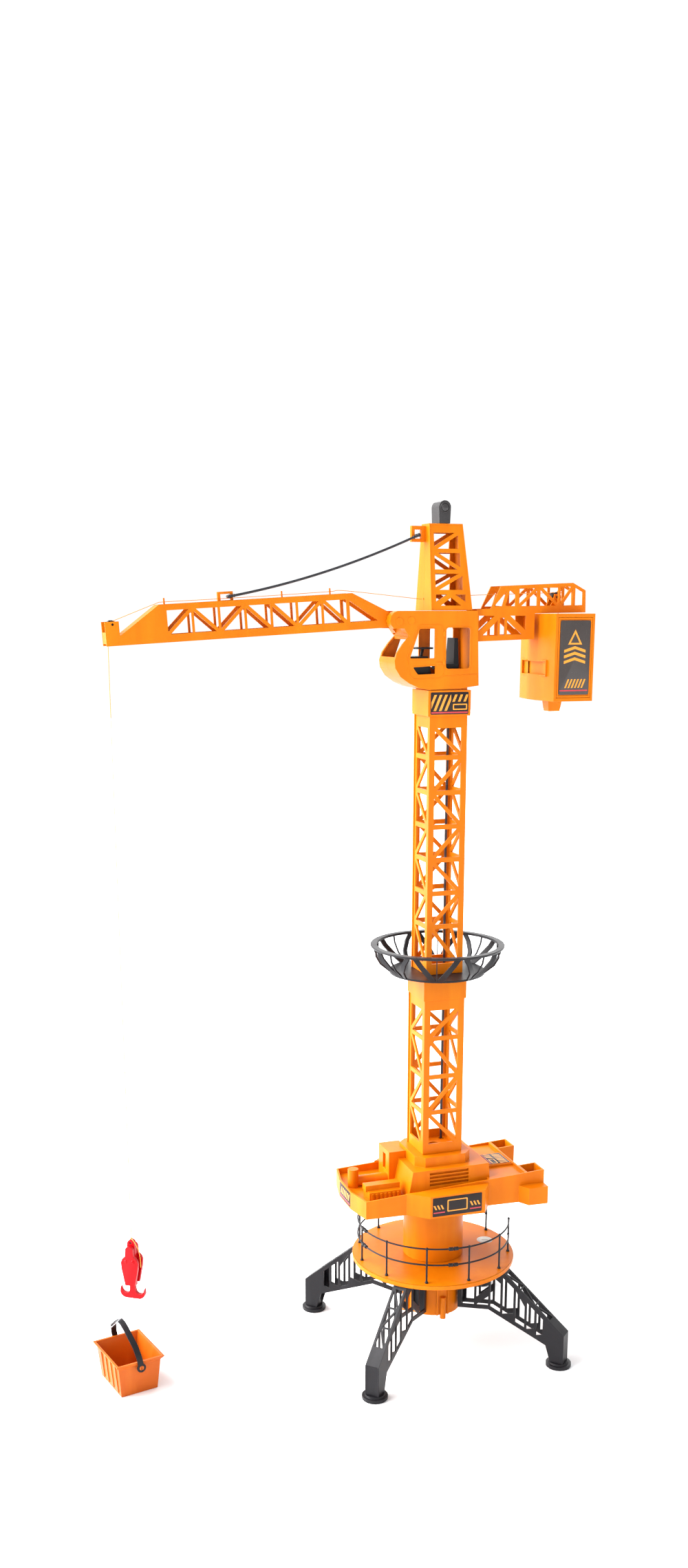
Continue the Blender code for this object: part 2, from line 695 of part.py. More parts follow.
def build_chassis():
    build_chassis_top()
    wall = CHASSIS_WALL
    plan = mirrored(
        [
            (CHASSIS_NOSE + wall + GAP, 0.0245),
            (CHASSIS_FRONT + wall + GAP, CHASSIS_HALF - wall - GAP),
            (DECK_REAR - wall - GAP, CHASSIS_HALF - wall - GAP),
        ]
    )
    floor = plate(plan, 0.0022, in_xy(0.2512), [disc_outline(NECK_RADIUS + 0.0006, 28)])
    frame = [
        box((0.0765, -0.031, 0.2515), (0.0785, 0.031, 0.262)),
        box((0.1205, -0.031, 0.2515), (0.1225, 0.031, 0.262))
    ]
    saddle = box((0.0280, -0.0145, 0.2515), (0.0300, -0.0125, 0.2610))
    add("chassis_bottom", BLACK, [floor, *frame, saddle])
    cells = [
        rod((0.087 + 0.0128 * k, -0.0255, 0.2625), (0.087 + 0.0128 * k, 0.0255, 0.2625), 0.0070, 14)
        for k in range(3)
    ]
    link = box((0.085, -0.0250, 0.2595), (0.1145, 0.0250, 0.2655))
    wrap = box((0.0815, -0.0220, 0.2553), (0.1180, 0.0220, 0.2650))
    add("battery_pack", GREEN, [*cells, link, wrap])
    cover = plate(rounded(0.0858, -0.0227, 0.1217, 0.0227, 0.003), 0.0040, in_xy(0.2882))
    add("battery_hatch", ORANGE, [cover])
    knob = box((0.0752, 0.0004, 0.2795), (0.0788, 0.0054, 0.2885))
    slider = box((0.0735, -0.0008, 0.2790), (0.0805, 0.0068, 0.2800))
    add("power_switch", BLACK, [knob, slider])
    board = box((-0.115, -0.036, 0.2560), (-0.070, 0.030, 0.2576))
    chips = [
        box((-0.108, -0.028, 0.2570), (-0.090, -0.010, 0.2605)),
        box((-0.084, 0.000, 0.2570), (-0.078, 0.016, 0.2620))
    ]
    add("receiver_board", GREEN, [board, *chips])
    reach = (SLEW_TEETH + SLEW_PINION_TEETH) * GEAR_MODULE / 2 + GAP
    can = rod((reach, 0, 0.2650), (reach, 0, 0.2895), 0.0118, 20)
    nose = rod((reach, 0, 0.2625), (reach, 0, 0.2655), 0.0032, 12)
    add("slew_motor", STEEL, [can, nose])
    # The ring's tooth points at the pinion, so a gap of the pinion faces back at it.
    gap_turn = math.pi - math.pi / SLEW_PINION_TEETH
    outline = gear_outline(SLEW_PINION_TEETH, GEAR_MODULE)
    pinion = plate(turned_outline(outline, gap_turn), 0.0062, Matrix.Translation((reach, 0, 0.2565)))
    hub = rod((reach, 0, 0.2590), (reach, 0, 0.2622), 0.0028, 12)
    add("slew_pinion", WHITE, [pinion, hub], origin=(reach, 0, 0.2565))


# ---------------------------------------------------------------- mast
def mast_channel(name, half, foot, top, levels, rung, bar, post, shoulder, socket_x, socket_y, rising):
    """The -Y face and both sides of a mast section in one moulding: plug, floor, lattice and socket."""
    wall = MAST_WALL
    rear = half - wall - GAP
    face = plate(
        rectangle(-half, foot, half, shoulder + 0.002),
        wall,
        in_xz(-half + wall / 2),
        ladder_holes(-half + post, half - post, levels, rung, bar, rising),
    )
    sides = [
        plate(
            rectangle(-half + 0.0002, foot, rear, shoulder + 0.002),
            wall,
            in_yz(x),
            ladder_holes(-half + post, half - post, levels, rung, bar, not rising),
        )
        for x in (-half + wall / 2, half - wall / 2)
    ]
    floor = box((-half + 0.0002, -half + 0.0002, foot), (half - 0.0002, rear, foot + wall))
    plug = box((-PLUG, -PLUG, foot - 0.0165), (PLUG, PLUG - 0.0002, foot - GAP))
    reach = PLUG - 0.0005
    neck = box((-reach, -reach, foot - 0.002), (reach, min(reach, rear - 0.0005), foot + 0.0008))
    block = plate(
        rectangle(-socket_x, -socket_y, socket_x, rear),
        top - shoulder,
        in_xy((top + shoulder) / 2),
    )
    inside = half - wall
    cuts = [
        box((-inside, -inside, foot + wall), (inside, half + 0.004, shoulder + 0.001)),
        box((-SOCKET, -SOCKET, shoulder), (SOCKET, half + 0.004, top + 0.01)),
        box((-PLUG + wall, -PLUG + wall, foot - 0.03), (PLUG - wall, PLUG - wall, foot - 0.0002)),
        rod((0, 0, foot - 0.001), (0, 0, foot + wall + 0.001), 0.009, 16),
        rod((WIRE_AT, WIRE_AT, foot - 0.001), (WIRE_AT, WIRE_AT, foot + wall + 0.001), 0.0044, 12),
    ]
    add(name, ORANGE, [face, *sides, floor, plug, neck, block], cuts)


def mast_panel(name, half, foot, top, levels, rung, bar, post, shoulder, socket_x, socket_y, rising):
    """The latticed +Y face, with the screw hubs behind every second rung."""
    wall = MAST_WALL
    flange = 0.0016
    panel = plate(
        rectangle(-half - flange, foot, half + flange, shoulder + 0.002),
        wall,
        in_xz(half - wall / 2),
        ladder_holes(-half + post, half - post, levels, rung, bar, rising),
    )
    bodies = [
        panel,
        plate(
            rectangle(-socket_x, shoulder, socket_x, top), socket_y - half + wall,
            in_xz((socket_y + half - wall) / 2)
        )
    ]
    for level in levels[1:-1:2]:
        bodies.append(rod((0, half - wall - 0.004, level), (0, half - 0.0005, level), 0.0042, 12))
    add(name, ORANGE, bodies, [box((-SOCKET, 0, top - 0.018), (SOCKET, SOCKET, top + 0.01))])


def contact_plate(name, z):
    """The black plate in a plug, with two raised contact rings and a corner cut off for the wire."""
    reach = PLUG - MAST_WALL - 0.0004
    outline = [(-reach, -reach), (reach, -reach), (reach, 0.0102), (0.0102, reach), (-reach, reach)]
    bodies = [plate(outline, 0.0018, in_xy(z + 0.0009))]
    ring = [(0.0115, z - 0.0008), (0.0145, z - 0.0008), (0.0145, z + 0.0004), (0.0115, z + 0.0004)]
    bodies.append(turned(ring, 16))
    add(name, BLACK, bodies)


def build_mast_wire():
    """The control wire up the inside of the mast, with a little slack."""
    low, high = LOWER_FOOT + 0.0035, 1.0060
    steps = 14
    points = []
    for k in range(steps + 1):
        share = k / steps
        slack = 0.0011 * abs(math.sin(2 * math.pi * (share - 0.4)))
        points.append((WIRE_AT - slack, WIRE_AT - slack / 2, low + (high - low) * share))
    add("mast_wire", BLACK, [tube(points, WIRE_RADIUS)])


def build_basket():
    """A bowl of V struts and thin uprights between a floor plate and a flat rim."""
    floor_top = UPPER_FOOT - GAP
    floor_low = LOWER_TOP + GAP
    hole = SOCKET
    plate_outline = disc_outline(BASKET_FLOOR, 40)
    floor = plate(
        plate_outline, floor_top - floor_low, in_xy((floor_top + floor_low) / 2),
        [rectangle(-hole, -hole, hole, hole)]
    )
    rim = turned(
        [
            (0.0915, BASKET_RIM_Z - 0.0036), (BASKET_RIM - 0.0012, BASKET_RIM_Z - 0.0036),
            (BASKET_RIM, BASKET_RIM_Z - 0.0008), (BASKET_RIM - 0.0006, BASKET_RIM_Z),
            (0.0915, BASKET_RIM_Z)
        ],
        32,
    )
    bodies = [floor, rim]
    low, high = floor_low + 0.0014, BASKET_RIM_Z - 0.0018

    def on_bowl(angle, share):
        """A point on the bowl's curved side, share of the way up."""
        radius = 0.0700 + 0.0262 * math.sin(share * math.pi / 2) ** 0.8
        return Vector((radius * math.cos(angle), radius * math.sin(angle), low + (high - low) * share))

    count = 8
    shares = (0.0, 0.35, 0.7, 1.0)
    for index in range(count):
        foot = 2 * math.pi * (index + 0.5) / count - math.pi / 2
        for lean in (-1, 1):
            spread = lean * math.pi / count * 0.86
            start = lean * 0.055
            points = [on_bowl(foot + start + (spread - start) * share, share) for share in shares]
            across = [Vector((-math.sin(foot), math.cos(foot), -0.25 * lean)) for _ in shares]
            bodies.append(ribbon(points, across, 0.0078, 0.0026))
        middle = [on_bowl(foot, share) for share in shares]
        bodies.append(ribbon(middle, [Vector((-math.sin(foot), math.cos(foot), 0))] * 4, 0.0016, 0.0022))
    add("basket", BLACK, bodies)


def build_mast():
    lower = [0.5555, 0.508, 0.4475, 0.391, 0.3375]
    shape = dict(
        half=LOWER_HALF, foot=LOWER_FOOT, top=LOWER_TOP, levels=lower, rung=0.0065, bar=0.0058, post=0.0095,
        shoulder=LOWER_LIP, socket_x=0.034, socket_y=0.034,
    )
    mast_channel("mast_lower_channel", rising=True, **shape)
    mast_panel("mast_lower_panel", rising=False, **shape)
    upper = [0.9725, 0.927, 0.8765, 0.827, 0.7785, 0.7290, 0.679, 0.6195]
    shape = dict(
        half=UPPER_HALF, foot=UPPER_FOOT, top=UPPER_TOP, levels=upper, rung=0.0070, bar=0.0056, post=0.0085,
        shoulder=UPPER_SHOULDER, socket_x=0.0325, socket_y=0.0315,
    )
    mast_channel("mast_upper_channel", rising=False, **shape)
    mast_panel("mast_upper_panel", rising=True, **shape)
    contact_plate("lower_contact_plate", LOWER_FOOT - 0.0150)
    contact_plate("upper_contact_plate", UPPER_FOOT - 0.0150)
    contact_plate("cab_contact_plate", UPPER_TOP - 0.0125)
    build_mast_wire()
    build_basket()


# ---------------------------------------------------------------- cab
def cab_profile(inset=0.0):
    """The cab's side: roof, hinge lug, windscreen notch, bulging nose and floor."""
    lug = arc((PIVOT_X - 0.0005, ROOF - 0.0132), 0.0132 - inset, 100, 235, 5)
    front = [(-0.0700, 1.1075), (-0.0648, 1.1005), (-0.0618, 1.0970), (-0.0715, 1.0868), (-0.0805, 1.0745)]
    nose = [
        (-0.0840, 1.0637), (-0.0828, 1.0535), (-0.0750, 1.0415), (-0.0620, 1.0325),
        (-0.0480, CAB_BOTTOM + 0.0008)
    ]
    outline = [
        (0.0405, ROOF), *lug, *front, *nose, (-0.0320, CAB_BOTTOM - 0.0022),
        (0.0145, CAB_BOTTOM - 0.0012), (0.0440, CAB_BOTTOM + 0.0025)
    ]
    return outline


def cab_cavity():
    """The hollow inside the walls, which leaves the hinge lug solid."""
    wall = CAB_WALL
    return [
        (0.0385, ROOF - wall),
        (-0.0520, ROOF - wall),
        (-0.0600, 1.1050),
        (-0.0590, 1.0965),
        (-0.0692, 1.0850),
        (-0.0780, 1.0737),
        (-0.0817, 1.0635),
        (-0.0806, 1.0548),
        (-0.0736, 1.0436),
        (-0.0612, 1.0350),
        (-0.0474, CAB_BOTTOM + 0.0033),
        (0.0418, CAB_BOTTOM + 0.0042),
    ]


def build_cab_shell(name, side):
    middle = side * (CAB_HALF + GAP / 2) / 2
    shell = plate(cab_profile(), CAB_HALF - GAP / 2, in_xz(middle))
    near, far = sorted((side * GAP / 2, side * PLUG))
    plug = box((-PLUG, near, UPPER_TOP - 0.0130), (PLUG, far, CAB_BOTTOM + 0.0008))
    near, far = sorted((side * (CAB_HALF - 0.0006), side * (CAB_HALF + 0.0010)))
    bosses = []
    for x, z in ((PIVOT_X, PIVOT_Z), (-0.0594, 1.1185)):
        bosses.append(rod((x, near, z), (x, far, z), 0.0052, 16))
    cuts = [
        plate(cab_cavity(), 2 * (CAB_HALF - CAB_WALL), in_xz()),
        # windows
        plate(
            [(-0.0612, 1.0668), (-0.0240, 1.0668), (-0.0240, 1.1072), (-0.0468, 1.1072)], 0.2,
            in_xz(side * 0.115)
        ),
        plate(
            [(-0.0492, 1.0445), (-0.0230, 1.0452), (-0.0230, 1.0562), (-0.0566, 1.0545)], 0.2,
            in_xz(side * 0.115)
        ),
        plate(rounded(-0.0068, 1.0520, 0.0296, 1.1085, 0.0035), 0.2, in_xz(side * 0.115)),
        # windscreen and the slot that takes the jib
        box((-0.12, -0.0275, 1.0685), (-0.0625, 0.0275, 1.1010)),
        box((-0.12, -JIB_HALF - 0.0008, 1.0960), (-0.0645, JIB_HALF + 0.0008, 1.14)),
        rod(
            (PIVOT_X, -CAB_HALF + 0.0012, PIVOT_Z), (PIVOT_X, CAB_HALF - 0.0012, PIVOT_Z),
            PIN_RADIUS + GAP, 16
        ),
        box((-PLUG + 0.003, -PLUG + 0.003, 1.0), (PLUG - 0.003, PLUG - 0.003, CAB_BOTTOM - 0.0030)),
    ]
    add(name, ORANGE, [shell, plug, *bosses], cuts)


def build_cab():
    build_cab_shell("cab_left_shell", -1)
    build_cab_shell("cab_right_shell", 1)
    floor = CAB_BOTTOM + 0.0042 + GAP
    seat = [
        box((0.000, -0.015, floor), (0.018, 0.015, 1.052)),
        box((-0.009, -0.016, 1.050), (0.0195, 0.016, 1.058)),
        tapered((0.0115, -0.016, 1.0565), (0.0195, 0.016, 1.0940), (0.0135, -0.013), (0.0190, 0.013)),
    ]
    add("operator_seat", BLACK, seat)
    wheel = turned([(0.0115, 1.0788), (0.0145, 1.0788), (0.0145, 1.0812), (0.0115, 1.0812)], 24, (-0.0290, 0))
    spokes = [
        rod((-0.0420, 0, 1.0800), (-0.0160, 0, 1.0800), 0.0010, 8),
        rod((-0.0290, -0.013, 1.0800), (-0.0290, 0.013, 1.0800), 0.0010, 8)
    ]
    console = [
        tapered(
            (-0.056, -0.020, floor + 0.006), (-0.022, 0.020, 1.0690), (-0.0640, -0.021),
            (-0.0300, 0.021)
        ),
        box((-0.040, -0.016, floor), (-0.022, 0.016, floor + 0.008)),
        rod((-0.0330, 0, 1.0660), (-0.0290, 0, 1.0810), 0.0022, 10),
        wheel,
        *spokes,
    ]
    add("steering_console", BLACK, console)
    pin = rod((PIVOT_X, -CAB_HALF + 0.0016, PIVOT_Z), (PIVOT_X, CAB_HALF - 0.0016, PIVOT_Z), PIN_RADIUS, 16)
    add("jib_pivot_pin", STEEL, [pin])


# ---------------------------------------------------------------- tower head
HEAD_FOOT = ROOF + GAP
HEAD_X_LOW, HEAD_X_HIGH = (-0.0295, 0.0330), (-0.0280, 0.0225)
HEAD_Y_LOW, HEAD_Y_HIGH = 0.0300, 0.0140


def head_solid(inset, drop):
    """The tapering tower head, optionally pulled in all round."""
    low = (HEAD_X_LOW[0] + inset, -HEAD_Y_LOW + inset, HEAD_FOOT - drop)
    high = (HEAD_X_LOW[1] - inset, HEAD_Y_LOW - inset, HEAD_TOP - inset)
    top_low = (HEAD_X_HIGH[0] + inset, -HEAD_Y_HIGH + inset)
    top_high = (HEAD_X_HIGH[1] - inset, HEAD_Y_HIGH - inset)
    return tapered(low, high, top_low, top_high)


def build_head_half(name, side):
    cuts = [head_solid(HEAD_WALL, 0.004)]
    left = -0.0215
    levels = [1.2395, 1.2125, 1.1845, 1.1570]

    def right(z):
        share = (z - HEAD_FOOT) / (HEAD_TOP - HEAD_FOOT)
        return HEAD_X_LOW[1] + share * (HEAD_X_HIGH[1] - HEAD_X_LOW[1]) - 0.0085

    for index, (high, low) in enumerate(zip(levels, levels[1:])):
        for hole in diagonal_holes(left, low + 0.0028, right(high), high - 0.0028, 0.0052, index % 2 == 0):
            cuts.append(plate(hole, 0.1, in_xz(side * 0.055)))
    low, high, middle = 1.1385, 1.1535, 0.0015
    edge = right(1.146)
    for hole in (
        [(left, low + 0.005), (middle - 0.006, high), (left, high)],
        [(left + 0.007, low), (edge - 0.007, low), (middle, high - 0.004)],
        [(edge, low + 0.005), (edge, high), (middle + 0.006, high)],
    ):
        cuts.append(plate(hole, 0.1, in_xz(side * 0.055)))
    cuts.append(rod((-0.05, 0, 1.1472), (0, 0, 1.1483), 0.0016, 10))
    cuts.append(rod((0, 0, 1.1508), (0.05, 0, 1.1530), 0.0016, 10))
    near, far = sorted((side * GAP / 2, -side * 0.05))
    cuts.append(box((-0.1, near, 1.1), (0.1, far, 1.3)))
    eye = []
    if side < 0:
        ring = rectangle(-0.0495, 1.2245, -0.0302, 1.2460)
        eye.append(plate(ring, 0.0064, in_xz(), [rectangle(-0.0450, 1.2290, -0.0350, 1.2410)]))
        eye.append(box((-0.0310, -0.0030, 1.2247), (-0.0265, -0.0006, 1.2458)))
    add(name, ORANGE, [head_solid(0, 0)], cuts, extras=eye)


def build_head():
    build_head_half("tower_head_left", -1)
    build_head_half("tower_head_right", 1)
    low = HEAD_TOP + GAP
    x = -0.0045
    radius = 0.0090
    dome = [
        (x - radius + 0.0008, low), (x + radius - 0.0008, low),
        *arc((x, LAMP_TOP - radius), radius, 0, 180, 12)
    ]
    lamp = plate(dome, 0.0280, in_xz())
    add("beacon_lamp", BLACK, [lamp])


# ---------------------------------------------------------------- counter-jib and winch box
def build_truss(name, side):
    """One side of the counter-jib, with half of the floor web between the two sides."""
    low, high = BOX_TOP + GAP, 1.1705
    outline = [
        (0.0446, 1.0888),
        (0.1355, 1.0918),
        (0.1355, low),
        (0.2165, low + 0.0012),
        (0.2155, 1.1600),
        (0.1950, high),
        (0.0815, 1.1655),
        (0.0665, 1.1345),
        (0.0446, 1.1335),
    ]
    bar = 0.0042
    floor, roof = 1.1375, 1.1615
    holes = [
        [(0.0715, floor), (0.0838, floor), (0.0905, 1.1585)],
        [(0.0890, floor + 0.001), (0.1045, floor), (0.1045, 1.1535), (0.0955, 1.1600)],
        *diagonal_holes(0.1105, floor + 0.0005, 0.1385, roof + 0.0010, bar, True),
        *diagonal_holes(0.1435, floor + 0.0010, 0.1720, roof + 0.0020, bar, False),
        *diagonal_holes(0.1755, floor + 0.0012, 0.1950, roof + 0.0035, bar, True),
        [(0.1990, floor + 0.0015), (0.2115, floor + 0.0020), (0.2112, 1.1575), (0.1990, 1.1640)],
        # lower truss: a fan of two diagonals and two uprights
        [(0.0482, 1.1035), (0.0725, 1.1245), (0.0482, 1.1245)],
        [(0.0540, 1.0970), (0.0775, 1.0970), (0.0775, 1.1180)],
        rectangle(0.0812, 1.0975, 0.0885, 1.1215),
        [(0.0922, 1.0980), (0.1155, 1.0985), (0.0922, 1.1185)],
        [(0.0970, 1.1245), (0.1215, 1.1045), (0.1215, 1.1245)],
    ]
    middle = side * (RAIL_HALF - 0.0012)
    near, far = sorted((side * GAP / 2, side * (RAIL_HALF - 0.0010)))
    floor_web = box((0.0447, near, 1.1284), (0.1330, far, 1.1310))
    end_web = box((0.1325, near, 1.0917), (0.1354, far, 1.1300))
    bodies = [plate(outline, 0.0024, in_xz(middle), holes), floor_web, end_web]
    near, far = sorted((side * 0.0062, side * 0.0084))
    x, z, _ = TAIL_ROLLER
    fork = [
        (x - 0.0155, 1.1292), (x + 0.0080, 1.1292), (x + 0.0045, z + 0.0045), (x - 0.0045, z + 0.0045),
        (x - 0.0060, z - 0.004)
    ]
    bodies.append(plate(fork, 0.0022, in_xz(side * 0.0073), [disc_outline(0.0018, 12, (x, z))]))
    near, far = sorted((side * 0.0064, side * (RAIL_HALF - 0.0010)))
    bodies.append(box((x - 0.0150, near, 1.1290), (x + 0.0075, far, 1.1312)))
    add(name, ORANGE, bodies)


def build_winch_box():
    wall = 0.0025
    prow = [(0.1505, -BOX_HALF), (BOX_LEFT, -0.014), (BOX_LEFT, 0.014), (0.1505, BOX_HALF)]
    outline = [*prow, (BOX_RIGHT, BOX_HALF), (BOX_RIGHT, -BOX_HALF)]
    inside = [
        (0.1505 + wall, -BOX_HALF + wall),
        (BOX_LEFT + wall, -0.0135),
        (BOX_LEFT + wall, 0.0135),
        (0.1505 + wall, BOX_HALF - wall),
        (BOX_RIGHT - wall, BOX_HALF - wall),
        (BOX_RIGHT - wall, -BOX_HALF + wall),
    ]
    height = BOX_TOP - BOX_BOTTOM
    middle = (BOX_TOP + BOX_BOTTOM) / 2
    block = plate(outline, height, in_xy(middle))
    peg = tapered(
        (0.1675, -0.0085, 0.9875), (0.1855, 0.0085, BOX_BOTTOM + 0.0012), (0.1650, -0.0105),
        (0.1880, 0.0105)
    )
    latch_tray = less(
        box((BOX_LEFT + 0.0010, -0.0400, 1.0395), (BOX_LEFT + 0.0085, 0.0400, 1.0625)),
        [box((BOX_LEFT - 0.002, -0.0385, 1.0415), (BOX_LEFT + 0.0065, 0.0385, 1.0605))],
    )
    x, z, _ = DRUM
    shaft_z = z - (DRUM_TEETH + DRUM_PINION_TEETH) * GEAR_MODULE / 2 - GAP
    bores = [disc_outline(0.0021, 12, (x, z)), disc_outline(0.0018, 12, (x, shaft_z))]
    post = rectangle(x - 0.005, BOX_BOTTOM + 0.001, x + 0.005, z + 0.006)
    bearings = [plate(post, 0.0020, in_xz(y), bores) for y in (-0.0270, 0.0370)]
    panel = rectangle(0.1545, BOX_BOTTOM + 0.0050, BOX_RIGHT - 0.0035, BOX_TOP - 0.0050)
    cuts = [
        plate(inside, height - 2 * wall, in_xy(middle)),
        box((0.1400, -0.0380, 1.0420), (0.1478, 0.0380, 1.0600)),
        box((0.1700, -0.0045, BOX_TOP - 0.006), (0.1860, 0.0045, BOX_TOP + 0.005)),
        plate(panel, 0.0100, in_xz(-BOX_HALF)),
    ]
    add("winch_box", ORANGE, [block, peg], cuts, extras=[latch_tray, *bearings])
    grow = 0.0004
    cover_outline = rectangle(
        0.1545 + grow, BOX_BOTTOM + 0.0050 + grow, BOX_RIGHT - 0.0035 - grow, BOX_TOP - 0.0050 - grow
    )
    cover = plate(cover_outline, 0.0020, in_xz(-BOX_HALF + 0.0022))
    frame_holes = [rectangle(0.1575, BOX_BOTTOM + 0.0080, BOX_RIGHT - 0.0065, BOX_TOP - 0.0080)]
    frame = plate(cover_outline, 0.0016, in_xz(-BOX_HALF + 0.0010), frame_holes)
    add("winch_box_cover", ORANGE, [cover, frame])
    can = rod((x, 0.0395, shaft_z), (x, 0.0535, shaft_z), 0.0112, 20)
    add("winch_motor", STEEL, [can])


def build_winch():
    x, z, core = DRUM
    gear_y = 0.0300
    spool = turned(
        [
            (0, -0.0255),
            (0.0018, -0.0255),
            (0.0018, -0.0225),
            (0.0150, -0.0225),
            (0.0150, -0.0205),
            (core, -0.0205),
            (core, 0.0205),
            (0.0150, 0.0205),
            (0.0150, 0.0225),
            (0.0060, 0.0225),
            (0.0060, gear_y - 0.001),
            (0.0018, gear_y + 0.0015),
            (0.0018, 0.0385),
            (0, 0.0385),
        ],
        16,
        closed=False,
    )
    frame = Matrix.Translation((x, 0, z)) @ Matrix.Rotation(math.radians(-90), 4, "X")
    gear = plate(gear_outline(DRUM_TEETH, GEAR_MODULE), 0.0045, in_xz(gear_y))
    add(
        "winch_drum", WHITE, [turned_by(spool, frame), turned_by(gear, Matrix.Translation((x, 0, z)))],
        origin=(x, 0, z)
    )
    reach = (DRUM_TEETH + DRUM_PINION_TEETH) * GEAR_MODULE / 2 + GAP
    # The drum gear has a tooth straight down, so the pinion shows it a gap straight up.
    turn = math.pi / 2 - math.pi / DRUM_PINION_TEETH
    outline = turned_outline(gear_outline(DRUM_PINION_TEETH, GEAR_MODULE), turn)
    pinion = turned_by(plate(outline, 0.0055, in_xz(gear_y)), Matrix.Translation((x, 0, z - reach)))
    shaft = rod((x, gear_y, z - reach), (x, 0.0391, z - reach), 0.0015, 10)
    add("winch_pinion", WHITE, [pinion, shaft], origin=(x, 0, z - reach))
    x, z, radius = TAIL_ROLLER
    add(
        "tail_roller", BLACK,
        [grooved_roller(radius, 0.0058, 0.0102, 0.0014, Matrix.Translation((x, 0, z)))],
        origin=(x, 0, z)
    )


def grooved_roller(radius, half, axle_half, axle, frame):
    """A roller with two flanges and its own axle stubs, lying along Y."""
    lip = radius + 0.0018
    profile = [
        (0, -axle_half),
        (axle, -axle_half),
        (axle, -half),
        (lip, -half),
        (radius, -half + 0.0025),
        (radius, half - 0.0025),
        (lip, half),
        (axle, half),
        (axle, axle_half),
        (0, axle_half),
    ]
    body = turned(profile, 14, closed=False)
    return turned_by(body, frame @ Matrix.Rotation(math.radians(-90), 4, "X"))


# ---------------------------------------------------------------- jib, in its own frame
def jib_place():
    """From (-x along the jib, y, height square to it) about the hinge to the crane's frame."""
    return Matrix.Translation((PIVOT_X, 0, PIVOT_Z)) @ Matrix.Rotation(-JIB_DROOP, 4, "Y")


def build_jib_half(name, side, parent):
    low, high, tip = JIB_LOW, JIB_HIGH, -JIB_TIP
    eye = arc((0, 0), 0.0075, 285, 425, 6)
    outline = [
        (tip, low),
        (-0.006, low),
        *eye,
        (-0.0612, high),
        (-0.3316, high),
        (-0.3868, 0.0045),
        (-0.3868, 0.0235),
        (tip, 0.0235),
    ]
    bays = [-0.3235 + 0.0364 * k for k in range(8)]
    rising = (True, False, True, False, False, True, False)
    floor, roof = low + 0.0105, high - 0.0080
    holes = []
    for (a, b), up in zip(zip(bays, bays[1:]), rising):
        holes += diagonal_holes(a + 0.0016, floor, b - 0.0016, roof, 0.0046, up)
    holes.append([(-0.0660, floor), (-0.0255, floor), (-0.0660, roof - 0.0020)])
    roller_x, roller_z, _ = TIP_ROLLER
    holes.append(disc_outline(0.0014 + GAP, 12, (-roller_x, roller_z)))
    wall = side * (JIB_HALF - JIB_WALL / 2)
    bodies = [plate(outline, JIB_WALL, in_xz(wall), holes)]
    near, far = sorted((side * GAP / 2, side * (JIB_HALF - 0.0010)))
    for z, left, right in ((high - 0.0012, -0.3312, -0.0616), (low + 0.0012, -0.3835, -0.0170)):
        bodies.append(plate(rectangle(left, near, right, far), 0.0020, in_xy(z)))
    # the sloping nose is closed on top, and the tip has its own end wall
    run = math.hypot(0.3868 - 0.3316, high - 0.0045)
    lean = math.atan2(high - 0.0045, 0.3868 - 0.3316)
    nose_frame = Matrix.Translation((-0.3316, 0, high)) @ Matrix.Rotation(-lean, 4, "Y") @ in_xy(-0.0011)
    bodies.append(plate(rectangle(-run + 0.0008, near, 0.0004, far), 0.0020, nose_frame))
    bodies.append(box((tip + 0.0003, near, low + 0.0030), (tip + 0.0024, far, 0.0100)))
    near, far = sorted((side * 0.0052, side * (JIB_HALF - 0.0010)))
    bodies.append(rod((0, near, 0), (0, far, 0), 0.0062, 16))
    if side < 0:
        for x in (-0.3220, -0.1586, -0.0896):
            bodies.append(rod((x, -0.0030, high - 0.0018), (x, -0.0030, high + 0.0082), 0.0012, 8))
        loop = plate(
            rectangle(-0.2495, high - 0.0010, -0.2280, high + 0.0118),
            0.0046,
            in_xz(-0.0050),
            [rectangle(-0.2455, high + 0.0006, -0.2315, high + 0.0086)],
        )
        bodies.append(loop)
    cuts = [rod((0, -0.03, 0), (0, 0.03, 0), PIN_RADIUS + GAP, 16)]
    add(name, ORANGE, bodies, cuts, parent=parent)


def build_jib():
    hinge = empty("jib_hinge", jib_place())
    build_jib_half("jib_left_half", -1, hinge)
    build_jib_half("jib_right_half", 1, hinge)
    x, z, radius = TIP_ROLLER
    roller = grooved_roller(radius, 0.0050, 0.0128, 0.0014, Matrix.Identity(4))
    carrier = empty("tip_roller_axis", Matrix.Translation((-x, 0, z)), hinge)
    add("tip_roller", BLACK, [roller], parent=carrier)
    return hinge


# ---------------------------------------------------------------- strap, line, hook, bucket
def build_strap():
    """The stay from the tower head's eye to the jib's loop, sagging a little, with a bar at each end."""
    start, end = Vector((-0.0405, -0.0068, 1.2335)), Vector((-0.3142, -0.0108, 1.1502))
    steps = 14
    sag = 0.0085
    points = []
    for k in range(steps + 1):
        share = k / steps
        point = start.lerp(end, share)
        point.z -= 4 * sag * share * (1 - share)
        points.append(point)
    bodies = [tube(points, 0.0017)]
    for point, far in ((start, 0.0060), (end, -0.0014)):
        bodies.append(rod(point - Vector((0, 0.0022, 0)), (point.x, far, point.z), 0.0021, 10))
    add("jib_tie_strap", BLACK, bodies)


def jib_point(along, y, up):
    return jib_place() @ Vector((-along, y, up))


